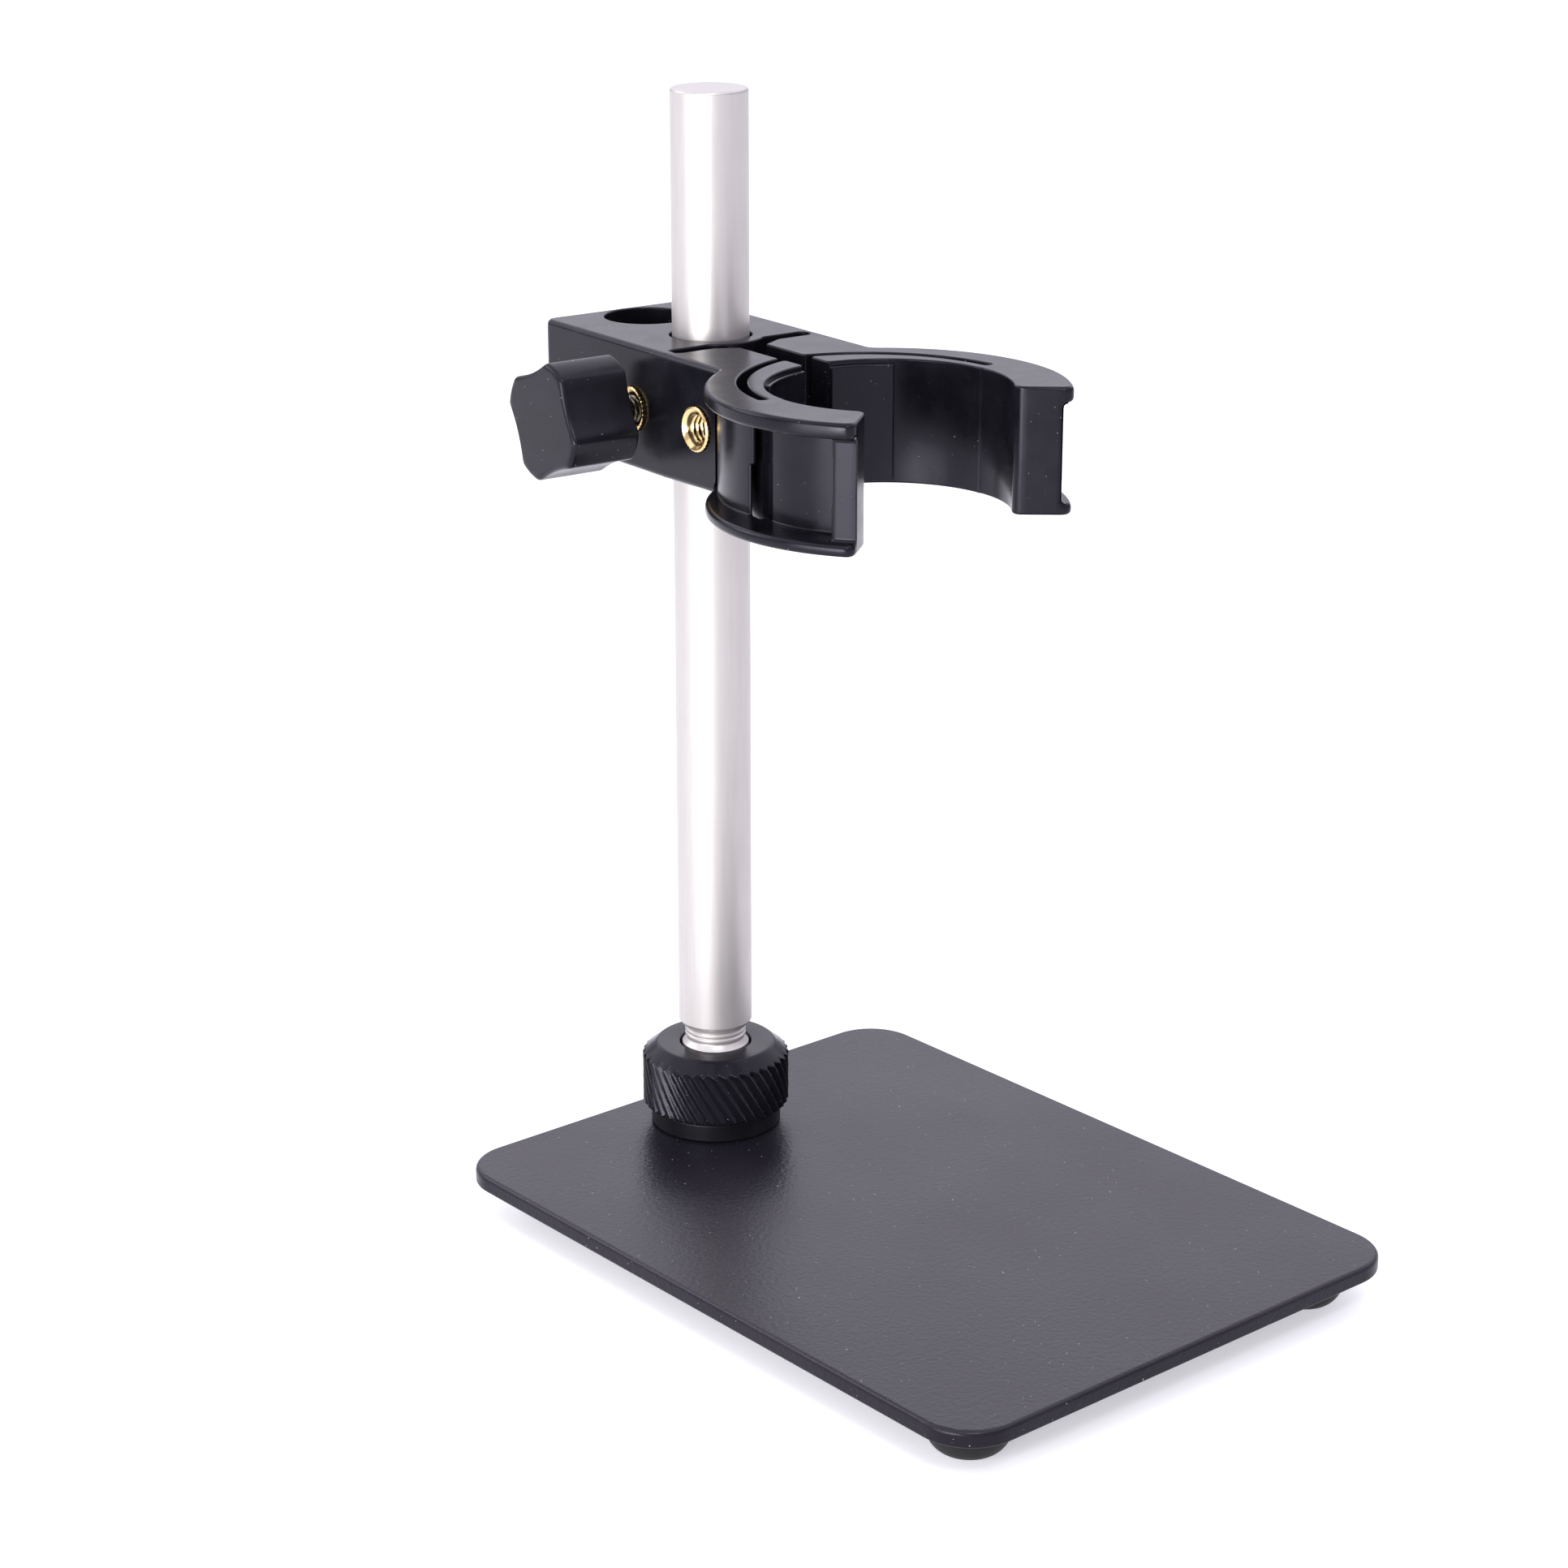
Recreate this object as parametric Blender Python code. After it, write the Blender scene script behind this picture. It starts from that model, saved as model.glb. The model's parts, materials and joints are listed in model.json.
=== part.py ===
"""A small bench stand: a steel base plate on rubber feet, a round pole held by a knurled
collar nut, and a moulded clip holder that slides and swivels on the pole.

Units are metres, +Z is up. The feet stand on z = 0, and the origin is the middle of the
footprint that the plate and the holder cover together. The clip opens towards -Y.
"""

import math

import bmesh
import bpy
from mathutils import Matrix

MM = 0.001
GAP = 0.3 * MM                    # clearance between pieces that touch

# ---- driving dimensions ----------------------------------------------------------------

# base plate
PLATE_WIDTH = 121.6 * MM          # along X
PLATE_DEPTH = 160.8 * MM          # along Y
PLATE_THICKNESS = 3.5 * MM
PLATE_CORNER = 11.3 * MM
PLATE_CENTRE_Y = -8.3 * MM        # the holder's back overhangs the plate, so the plate sits forward

# rubber feet
FOOT_HEIGHT = 7.8 * MM
FOOT_TOP_RADIUS = 9.6 * MM
FOOT_SOLE_RADIUS = 5.2 * MM
FOOT_INSET = 14.0 * MM            # foot axis from the plate's edges
REAR_FOOT_INSET = 18.0 * MM       # the rear feet stand further in from the sides

PLATE_TOP = FOOT_HEIGHT + PLATE_THICKNESS

# pole
POLE_X = -3.4 * MM
POLE_Y = PLATE_CENTRE_Y + 61.6 * MM
POLE_RADIUS = 8.0 * MM
POLE_TOP = PLATE_TOP + 225.9 * MM
NECK_RADIUS = 6.35 * MM
FLARE_RADIUS = 7.3 * MM
POLE_FOOT_RADIUS = 9.8 * MM

# boss and collar nut, heights above the plate
BOSS_FLANGE_RADIUS = 14.2 * MM
BOSS_FLANGE_HEIGHT = 4.2 * MM
SPIGOT_RADIUS = 10.0 * MM
SPIGOT_HEIGHT = 12.0 * MM
NUT_RADIUS = 16.1 * MM
NUT_TOP_RADIUS = 12.7 * MM
NUT_SHOULDER = 16.0 * MM          # underside of the nut's inner shoulder
NUT_EDGE = 16.5 * MM              # top of the knurled band
NUT_TOP = 18.7 * MM
NUT_HOLE_RADIUS = 7.75 * MM
NUT_BORE_RADIUS = 10.3 * MM
WASHER_THICKNESS = 0.8 * MM
POLE_FOOT_THICKNESS = 2.3 * MM

# boss screw
SCREW_HEAD_RADIUS = 6.0 * MM
SCREW_RADIUS = 3.0 * MM
SCREW_LENGTH = 13.0 * MM

# holder: u runs across it, v runs forward from the pole's axis
HOLDER_TURN = math.radians(4.6)   # the holder stands turned about the pole
HOLDER_TOP = PLATE_TOP + 175.7 * MM
BLOCK_HEIGHT = 25.8 * MM
BLOCK_HALF = 19.1 * MM
BLOCK_BACK = -34.2 * MM
BLOCK_CORNER = 2.2 * MM
BORE_RADIUS = 8.5 * MM
BORE_WALL_RADIUS = 11.2 * MM      # outside of the wall round the front of the bore
REAR_BORE_RADIUS = 9.0 * MM
REAR_BORE_V = -23.6 * MM
SLIT_REAR = 8.8 * MM
SLIT_FRONT = 12.4 * MM
SLIT_END = 17.0 * MM              # the slit leaves a web at each side of the block
HINGE_V = (SLIT_REAR + SLIT_FRONT) / 2

# jaws
JAW_HEIGHT = 25.3 * MM
CHANNEL_HALF = 3.1 * MM
ROOT_CHAMFER_U = 8.0 * MM
ROOT_CHAMFER_V = 15.1 * MM
RING_V = 60.3 * MM                # middle of the clip ring
RING_INNER = 24.0 * MM
RING_OUTER = 35.6 * MM
TIP_ANGLE = {"left": 132.4, "right": 130.5}    # degrees round the ring from the pole's side
TOP_FLANGE = 3.2 * MM
BOTTOM_FLANGE = 2.4 * MM
SLOT_FAR_END = 84.0               # degrees, where the spring finger joins the jaw
SLOT_OUTER_END = 28.4 * MM
SLOT_INNER_END = 26.4 * MM
SLOT_SWELL = 4.3 * MM             # the slot and finger move outward towards the channel
FINGER_END_HALF = 3.0 * MM
BOSS_WALL_START = 33.6            # degrees, where the wall beside the root meets the flanges
BOSS_WALL_END = 78.6
BOSS_WALL_RADIUS = 35.14 * MM     # at its start
BOSS_WALL_DRAW = 0.137 * MM       # the wall draws inward by this much each degree
WINDOW_RADIUS = 25.3 * MM         # between the end of the wall and the panel
PANEL_START = 91.0
PANEL_RADIUS = 27.8 * MM
RIB_START = 124.0
RIB_RADIUS = 33.6 * MM
PAD_RADIUS = 23.0 * MM
PAD_START = 8.0
PAD_END = {"left": 47.0, "right": 40.0}
PAD_TOP_DROP = 1.0 * MM
PAD_BOTTOM_RISE = 0.6 * MM

# threaded inserts and clamp screw
INSERT_RADIUS = 4.65 * MM
INSERT_HOLE_RADIUS = 3.3 * MM
INSERT_LENGTH = 8.4 * MM
INSERT_PROUD = 0.9 * MM
INSERT_DROP = 13.2 * MM           # axis below the holder's top
JAW_INSERT_V = 22.8 * MM
STUD_RADIUS = 3.0 * MM
PAD_LENGTH = 2.0 * MM
PRESSURE_PAD_RADIUS = 2.8 * MM
KNOB_INNER_U = -25.9 * MM
KNOB_OUTER_U = -41.5 * MM
KNOB_RADIUS = 12.6 * MM
KNOB_FLUTE_RADIUS = 10.2 * MM
KNOB_LOBES = 4
KNOB_LOBE_HALF = 15.0             # degrees
KNOB_LOBE_START = 23.0            # degrees from upright towards the front, first lobe
KNOB_CHAMFER = 0.8 * MM
STUD_IN_KNOB = 9.0 * MM

ROUND_STEPS = 48
SMALL_STEPS = 32
ARC_STEP = 4.0                    # degrees between points on a long arc

HOLDER_FRAME = (Matrix.Translation((POLE_X, POLE_Y, HOLDER_TOP))
                @ Matrix.Rotation(math.pi - HOLDER_TURN, 4, "Z"))
PLATE_FRAME = Matrix.Translation((0.0, PLATE_CENTRE_Y, FOOT_HEIGHT))
POLE_FRAME = Matrix.Translation((POLE_X, POLE_Y, PLATE_TOP))


# ---- helpers ---------------------------------------------------------------------------

def clear_scene():
    """Remove every object of the scene."""
    for item in list(bpy.data.objects):
        bpy.data.objects.remove(item, do_unlink=True)


def make_material(name, colour, roughness, metallic=0.0):
    """A Principled material with one colour, roughness and metallic value."""
    material = bpy.data.materials.new(name)
    material.use_nodes = True
    shader = material.node_tree.nodes["Principled BSDF"]
    shader.inputs["Base Color"].default_value = (*colour, 1.0)
    shader.inputs["Roughness"].default_value = roughness
    shader.inputs["Metallic"].default_value = metallic
    return material


def add_object(name, mesh_builder, frame, material=None):
    """Link a new object whose mesh is mesh_builder, a bmesh, placed by frame."""
    bmesh.ops.recalc_face_normals(mesh_builder, faces=mesh_builder.faces)
    mesh = bpy.data.meshes.new(name)
    mesh_builder.to_mesh(mesh)
    mesh_builder.free()
    item = bpy.data.objects.new(name, mesh)
    item.matrix_world = frame
    bpy.context.scene.collection.objects.link(item)
    if material is None:
        item.hide_render = True
        item.display_type = "WIRE"
    else:
        mesh.materials.append(material)
        mesh.shade_smooth()
        mesh.set_sharp_from_angle(angle=math.radians(30.0))
    return item


def lofted(sections):
    """A bmesh skinned through (outline, height) sections of equal point counts."""
    builder = bmesh.new()
    rings = []
    for outline, height in sections:
        rings.append([builder.verts.new((x, y, height)) for x, y in outline])
    for low, high in zip(rings, rings[1:]):
        for i, corner in enumerate(low):
            builder.faces.new((low[i - 1], corner, high[i], high[i - 1]))
    builder.faces.new(rings[0])
    builder.faces.new(rings[-1])
    return builder


def prism(outline, low, high):
    """A bmesh of a closed outline in plan, from z = low to z = high."""
    return lofted([(outline, low), (outline, high)])


def turned(profile, steps):
    """A bmesh of (radius, height) points turned about Z; both ends of the profile lie on it
    or the profile is closed, as for a ring."""
    builder = bmesh.new()
    on_axis = profile[0][0] == 0.0
    verts = [builder.verts.new((radius, 0.0, height)) for radius, height in profile]
    edges = [builder.edges.new(pair) for pair in zip(verts, verts[1:])]
    if not on_axis:
        edges.append(builder.edges.new((verts[-1], verts[0])))
    bmesh.ops.spin(builder, geom=verts + edges, axis=(0.0, 0.0, 1.0), cent=(0.0, 0.0, 0.0),
                   angle=math.tau, steps=steps, use_merge=True)
    bmesh.ops.remove_doubles(builder, verts=builder.verts, dist=1e-6)
    return builder


def arc(centre, radius, start, end, step=ARC_STEP):
    """Points on a circle from start to end, in degrees anticlockwise from +x."""
    count = max(2, round(abs(end - start) / step))
    angles = [math.radians(start + (end - start) * i / count) for i in range(count + 1)]
    return [(centre[0] + radius * math.cos(a), centre[1] + radius * math.sin(a)) for a in angles]


def circle(centre, radius, steps=ROUND_STEPS):
    """A full circle without a repeated last point."""
    return arc(centre, radius, 0.0, 360.0, 360.0 / steps)[:-1]


def cut(item, cutter, operation="DIFFERENCE"):
    """Add a Boolean modifier that combines item with cutter."""
    modifier = item.modifiers.new(cutter.name, "BOOLEAN")
    modifier.operation = operation
    modifier.solver = "EXACT"
    modifier.object = cutter


def across_frame(v, drop):
    """Frame of a round piece that lies across the holder: its Z runs along +u from the
    holder's middle plane, at v forward and drop below the holder's top."""
    lie_across = Matrix.Rotation(math.radians(-90.0), 4, "Y")
    return HOLDER_FRAME @ Matrix.Translation(plan(0.0, v) + (-drop,)) @ lie_across


def plan(u, v):
    """Holder plan position as local x and y: the holder's frame looks back along -v."""
    return (-u, v)


def mirrored(outline, side):
    """The outline of the right jaw, or its mirror image for the left."""
    if side == "right":
        return [plan(u, v) for u, v in outline]
    return [plan(-u, v) for u, v in reversed(outline)]


def on_ring(radius, angle):
    """A point of the right jaw, angle degrees round the ring from the pole's side."""
    turn = math.radians(angle)
    return (radius * math.sin(turn), RING_V - radius * math.cos(turn))


def ring_arc(radius, start, end):
    """Points on the ring at one radius."""
    count = max(2, round(abs(end - start) / ARC_STEP))
    return [on_ring(radius, start + (end - start) * i / count) for i in range(count + 1)]


# ---- base, feet and pole ---------------------------------------------------------------

def rounded_rectangle(half_x, half_y, radius):
    """Outline of a rectangle with round corners."""
    points = []
    for turn, (sx, sy) in enumerate(((1, 1), (-1, 1), (-1, -1), (1, -1))):
        centre = (sx * (half_x - radius), sy * (half_y - radius))
        points += arc(centre, radius, 90.0 * turn, 90.0 * turn + 90.0, 9.0)
    return points


def make_base(materials):
    """Plate with a countersunk hole under the pole, and its four feet."""
    plate = add_object("base_plate",
                       prism(rounded_rectangle(PLATE_WIDTH / 2, PLATE_DEPTH / 2, PLATE_CORNER),
                             0.0, PLATE_THICKNESS),
                       PLATE_FRAME, materials["coated_steel"])
    clear = SCREW_RADIUS + GAP
    mouth = SCREW_HEAD_RADIUS + GAP
    hole = turned([(0.0, PLATE_THICKNESS + 1 * MM), (clear, PLATE_THICKNESS + 1 * MM),
                   (clear, mouth - clear), (mouth, 0.0), (mouth, -1 * MM), (0.0, -1 * MM)],
                  SMALL_STEPS)
    frame = Matrix.Translation((POLE_X, POLE_Y, FOOT_HEIGHT))
    cut(plate, add_object("cutter_plate_hole", hole, frame))

    profile = [(0.0, FOOT_HEIGHT - GAP), (FOOT_TOP_RADIUS, FOOT_HEIGHT - GAP)]
    for angle in (0.0, 15.0, 30.0, 45.0, 60.0, 75.0, 90.0):
        swing = math.radians(angle)
        profile.append((FOOT_SOLE_RADIUS + (FOOT_TOP_RADIUS - FOOT_SOLE_RADIUS) * math.cos(swing),
                        (FOOT_HEIGHT - 1.2 * MM) * (1.0 - math.sin(swing))))
    profile.append((0.0, 0.0))
    for depth_name, sy, side_inset in (("front", -1, FOOT_INSET), ("rear", 1, REAR_FOOT_INSET)):
        for side_name, sx in (("left", -1), ("right", 1)):
            spot = (sx * (PLATE_WIDTH / 2 - side_inset),
                    PLATE_CENTRE_Y + sy * (PLATE_DEPTH / 2 - FOOT_INSET), 0.0)
            add_object(f"foot_{depth_name}_{side_name}", turned(profile, SMALL_STEPS),
                       Matrix.Translation(spot), materials["foot_rubber"])


def make_pole_mount(materials):
    """Boss, its screw, the pole, the slip washer and the collar nut, all on the pole's axis."""
    thread_clear = SCREW_RADIUS + GAP
    boss = [(thread_clear, GAP), (BOSS_FLANGE_RADIUS, GAP),
            (BOSS_FLANGE_RADIUS, BOSS_FLANGE_HEIGHT), (SPIGOT_RADIUS, BOSS_FLANGE_HEIGHT),
            (SPIGOT_RADIUS, SPIGOT_HEIGHT - 0.8 * MM), (SPIGOT_RADIUS - 0.8 * MM, SPIGOT_HEIGHT),
            (thread_clear, SPIGOT_HEIGHT)]
    add_object("pole_boss", turned(boss, ROUND_STEPS), POLE_FRAME, materials["boss_metal"])

    slope = SCREW_HEAD_RADIUS - SCREW_RADIUS
    screw = [(0.0, 0.2 * MM), (SCREW_HEAD_RADIUS - 0.3 * MM, 0.2 * MM),
             (SCREW_RADIUS, slope), (SCREW_RADIUS, SCREW_LENGTH), (0.0, SCREW_LENGTH)]
    frame = Matrix.Translation((POLE_X, POLE_Y, FOOT_HEIGHT))
    add_object("boss_screw", turned(screw, SMALL_STEPS), frame, materials["screw_steel"])

    foot_low = SPIGOT_HEIGHT + GAP
    foot_high = foot_low + POLE_FOOT_THICKNESS
    top = POLE_TOP - PLATE_TOP
    pole = [(0.0, foot_low), (POLE_FOOT_RADIUS, foot_low), (POLE_FOOT_RADIUS, foot_high),
            (FLARE_RADIUS, foot_high), (FLARE_RADIUS, 18.7 * MM), (6.9 * MM, 19.3 * MM),
            (NECK_RADIUS, 20.3 * MM), (NECK_RADIUS, 22.0 * MM), (7.0 * MM, 23.2 * MM),
            (7.2 * MM, 23.4 * MM), (POLE_RADIUS, 24.1 * MM), (POLE_RADIUS, top - 0.8 * MM),
            (POLE_RADIUS - 0.25 * MM, top - 0.25 * MM), (POLE_RADIUS - 0.8 * MM, top), (0.0, top)]
    add_object("pole", turned(pole, ROUND_STEPS), POLE_FRAME, materials["pole_aluminium"])

    washer_low = foot_high + GAP
    washer = [(FLARE_RADIUS + GAP, washer_low), (POLE_FOOT_RADIUS, washer_low),
              (POLE_FOOT_RADIUS, washer_low + WASHER_THICKNESS),
              (FLARE_RADIUS + GAP, washer_low + WASHER_THICKNESS)]
    add_object("slip_washer", turned(washer, ROUND_STEPS), POLE_FRAME, materials["washer_nylon"])

    nut_low = BOSS_FLANGE_HEIGHT + GAP
    nut = [(NUT_BORE_RADIUS, nut_low), (NUT_RADIUS - 0.7 * MM, nut_low),
           (NUT_RADIUS, nut_low + 0.7 * MM), (NUT_RADIUS, NUT_EDGE - 0.4 * MM),
           (NUT_RADIUS - 0.4 * MM, NUT_EDGE), (NUT_TOP_RADIUS + 0.4 * MM, NUT_TOP - 0.2 * MM),
           (NUT_TOP_RADIUS, NUT_TOP), (NUT_HOLE_RADIUS, NUT_TOP),
           (NUT_HOLE_RADIUS, NUT_SHOULDER), (NUT_BORE_RADIUS, NUT_SHOULDER)]
    add_object("collar_nut", turned(nut, ROUND_STEPS), POLE_FRAME, materials["nut_plastic"])


# ---- holder ----------------------------------------------------------------------------

def block_outline():
    """Plan of the block behind the slit, with the bore's wall bulging into the slit."""
    slit_radius = (SLIT_FRONT - SLIT_REAR) / 2
    slit_centre_u = SLIT_END - slit_radius
    split = HINGE_V - GAP / 2
    start = math.degrees(math.asin((split - HINGE_V) / slit_radius))
    bulge = math.degrees(math.asin(SLIT_REAR / BORE_WALL_RADIUS))
    corner_u = BLOCK_HALF - BLOCK_CORNER
    corner_v = BLOCK_BACK + BLOCK_CORNER
    right = [(BLOCK_HALF, split)]
    right += arc((slit_centre_u, HINGE_V), slit_radius, start, -90.0, 15.0)
    points = arc((corner_u, corner_v), BLOCK_CORNER, -90.0, 0.0, 15.0) + right
    points += arc((0.0, 0.0), BORE_WALL_RADIUS, bulge, 180.0 - bulge, 6.0)
    points += [(-u, v) for u, v in reversed(right)]
    points += arc((-corner_u, corner_v), BLOCK_CORNER, 180.0, 270.0, 15.0)
    return [plan(u, v) for u, v in points]


def slot_radius(angle, end_radius):
    """Radius of a slot's side: it swells from end_radius towards the channel."""
    reach = max(0.0, 1.0 - angle / SLOT_FAR_END)
    return end_radius + SLOT_SWELL * reach ** 1.6


def slot_side(end_radius, start, end):
    """Points along one side of the slot behind the spring finger."""
    count = round(abs(end - start) / ARC_STEP)
    angles = [start + (end - start) * i / count for i in range(count + 1)]
    return [on_ring(slot_radius(angle, end_radius), angle) for angle in angles]


def angle_at(half, radius):
    """Angle round the ring at which a radius stands half to the side of the middle."""
    return math.degrees(math.asin(half / radius))


def jaw_outline(tip_angle):
    """Plan of a right-hand jaw: root, slot, spring finger and ring, in one closed line."""
    slit_radius = (SLIT_FRONT - SLIT_REAR) / 2
    slit_centre_u = SLIT_END - slit_radius
    split = HINGE_V + GAP / 2
    start = math.degrees(math.asin((split - HINGE_V) / slit_radius))
    points = [(BLOCK_HALF, split)]
    points += arc((slit_centre_u, HINGE_V), slit_radius, start, 90.0, 15.0)
    points += [(ROOT_CHAMFER_U, SLIT_FRONT), (CHANNEL_HALF, ROOT_CHAMFER_V)]
    near = angle_at(CHANNEL_HALF, SLOT_OUTER_END + SLOT_SWELL)
    points += slot_side(SLOT_OUTER_END, near, SLOT_FAR_END - 2.0)
    points.append(on_ring((SLOT_OUTER_END + SLOT_INNER_END) / 2, SLOT_FAR_END))
    near = angle_at(FINGER_END_HALF, SLOT_INNER_END + SLOT_SWELL)
    points += slot_side(SLOT_INNER_END, SLOT_FAR_END - 2.0, near)
    points += ring_arc(RING_INNER, angle_at(FINGER_END_HALF, RING_INNER), tip_angle)
    points += ring_arc(RING_OUTER, tip_angle, angle_at(BLOCK_HALF, RING_OUTER))
    return points


def recess_outline(tip_angle):
    """Plan of what is hollowed out between the flanges, outside a right-hand jaw's wall."""
    beyond = RING_OUTER + 6.0 * MM
    points = [on_ring(beyond, BOSS_WALL_START - ARC_STEP)]
    count = round((BOSS_WALL_END - BOSS_WALL_START) / ARC_STEP)
    for i in range(count + 1):
        angle = BOSS_WALL_START + (BOSS_WALL_END - BOSS_WALL_START) * i / count
        points.append(on_ring(BOSS_WALL_RADIUS - BOSS_WALL_DRAW * (angle - BOSS_WALL_START),
                              angle))
    points += ring_arc(WINDOW_RADIUS, BOSS_WALL_END, PANEL_START)
    points += ring_arc(PANEL_RADIUS, PANEL_START, RIB_START)
    points += ring_arc(RIB_RADIUS, RIB_START, tip_angle + ARC_STEP)
    points += ring_arc(beyond, tip_angle + ARC_STEP, BOSS_WALL_START)
    return points


def pad_outline(side):
    """Plan of the pad that stands inward on a spring finger."""
    inside = ring_arc(PAD_RADIUS, PAD_START, PAD_END[side])
    return inside + ring_arc(RING_INNER + 0.4 * MM, PAD_END[side], PAD_START)


def hole_across(name, v, start_u, end_u, radius):
    """Cutter for a round hole across the holder, from start_u to end_u."""
    return add_object(name, prism(circle((0.0, 0.0), radius, SMALL_STEPS), start_u, end_u),
                      across_frame(v, INSERT_DROP))


def make_block(materials):
    """Block with the pole's bore, the spare bore and two insert holes."""
    block = add_object("holder_block", prism(block_outline(), -BLOCK_HEIGHT, 0.0),
                       HOLDER_FRAME, materials["holder_plastic"])
    reach = 1.0 * MM
    for name, v, radius in (("cutter_bore", 0.0, BORE_RADIUS),
                            ("cutter_rear_bore", REAR_BORE_V, REAR_BORE_RADIUS)):
        cut(block, add_object(name, prism(circle(plan(0.0, v), radius), -BLOCK_HEIGHT - reach,
                                          reach), HOLDER_FRAME))
    pocket_end = -BLOCK_HALF - INSERT_PROUD + INSERT_LENGTH + GAP
    for name, v in (("pole", 0.0), ("rear", REAR_BORE_V)):
        cut(block, hole_across(f"cutter_{name}_pocket", v, -BLOCK_HALF - reach, pocket_end,
                               INSERT_RADIUS + GAP))
        cut(block, hole_across(f"cutter_{name}_hole", v, -BLOCK_HALF, -5.0 * MM,
                               INSERT_HOLE_RADIUS))


def make_jaw(side, materials):
    """One jaw: a full-height plan shape, hollowed outside between its flanges, with a pad."""
    low = -JAW_HEIGHT
    outline = mirrored(jaw_outline(TIP_ANGLE[side]), side)
    jaw = add_object(f"jaw_{side}", prism(outline, low, 0.0), HOLDER_FRAME,
                     materials["holder_plastic"])
    hollow = mirrored(recess_outline(TIP_ANGLE[side]), side)
    recess = prism(hollow, low + BOTTOM_FLANGE, -TOP_FLANGE)
    cut(jaw, add_object(f"cutter_recess_{side}", recess, HOLDER_FRAME))
    pad = prism(mirrored(pad_outline(side), side), low + PAD_BOTTOM_RISE, -PAD_TOP_DROP)
    cut(jaw, add_object(f"cutter_pad_{side}", pad, HOLDER_FRAME), "UNION")
    if side == "left":
        pocket_end = -BLOCK_HALF - INSERT_PROUD + INSERT_LENGTH + GAP
        cut(jaw, hole_across("cutter_jaw_pocket", JAW_INSERT_V, -BLOCK_HALF - 1.0 * MM,
                             pocket_end, INSERT_RADIUS + GAP))
        cut(jaw, hole_across("cutter_jaw_hole", JAW_INSERT_V, -BLOCK_HALF, 0.0,
                             INSERT_HOLE_RADIUS))


def make_inserts(materials):
    """Three threaded inserts, which open towards -u."""
    outer = -BLOCK_HALF - INSERT_PROUD
    inner = outer + INSERT_LENGTH
    mouth = 0.6 * MM
    profile = [(INSERT_HOLE_RADIUS, inner), (INSERT_RADIUS, inner), (INSERT_RADIUS, outer),
               (INSERT_HOLE_RADIUS + mouth, outer), (INSERT_HOLE_RADIUS, outer + mouth)]
    for name, v in (("pole_insert", 0.0), ("rear_insert", REAR_BORE_V),
                    ("jaw_insert", JAW_INSERT_V)):
        add_object(name, turned(profile, SMALL_STEPS), across_frame(v, INSERT_DROP),
                   materials["insert_brass"])


def knob_outline():
    """Lobes as arcs of the full radius, joined by shallow hollow flutes."""
    half = math.radians(45.0 - KNOB_LOBE_HALF)
    chord_half = KNOB_RADIUS * math.sin(half)
    chord_middle = KNOB_RADIUS * math.cos(half)
    depth = chord_middle - KNOB_FLUTE_RADIUS
    flute = (chord_half ** 2 + depth ** 2) / (2.0 * depth)
    sweep = math.degrees(math.asin(chord_half / flute))
    points = []
    for lobe in range(KNOB_LOBES):
        middle = KNOB_LOBE_START + lobe * 360.0 / KNOB_LOBES
        points += arc((0.0, 0.0), KNOB_RADIUS, middle - KNOB_LOBE_HALF, middle + KNOB_LOBE_HALF,
                      5.0)
        away = math.radians(middle + 45.0)
        reach = KNOB_FLUTE_RADIUS + flute
        centre = (reach * math.cos(away), reach * math.sin(away))
        back = middle + 45.0 + 180.0
        points += arc(centre, flute, back + sweep, back - sweep, 3.0)[1:-1]
    return points


def make_clamp_screw(materials):
    """Pressure pad, threaded stud and knob in a line through the pole's axis."""
    frame = across_frame(0.0, INSERT_DROP)
    pad_tip = -POLE_RADIUS - GAP
    pad = [(0.0, pad_tip), (PRESSURE_PAD_RADIUS, pad_tip),
           (PRESSURE_PAD_RADIUS, pad_tip - PAD_LENGTH), (0.0, pad_tip - PAD_LENGTH)]
    add_object("pressure_pad", turned(pad, SMALL_STEPS), frame, materials["pad_nylon"])

    stud_tip = pad_tip - PAD_LENGTH - GAP
    stud_end = KNOB_INNER_U - STUD_IN_KNOB
    stud = [(0.0, stud_tip), (STUD_RADIUS - 0.5 * MM, stud_tip),
            (STUD_RADIUS, stud_tip - 0.5 * MM), (STUD_RADIUS, stud_end), (0.0, stud_end)]
    add_object("screw_stud", turned(stud, SMALL_STEPS), frame, materials["screw_steel"])

    outline = knob_outline()
    shrink = 1.0 - KNOB_CHAMFER / KNOB_RADIUS
    small = [(x * shrink, y * shrink) for x, y in outline]
    body = lofted([(small, KNOB_OUTER_U), (outline, KNOB_OUTER_U + KNOB_CHAMFER),
                   (outline, KNOB_INNER_U)])
    knob = add_object("clamp_knob", body, frame, materials["knob_plastic"])
    socket = add_object("cutter_knob_socket",
                        prism(circle((0.0, 0.0), STUD_RADIUS + GAP, SMALL_STEPS),
                              stud_end - GAP, KNOB_INNER_U + 1.0 * MM), frame)
    cut(knob, socket)


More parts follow.
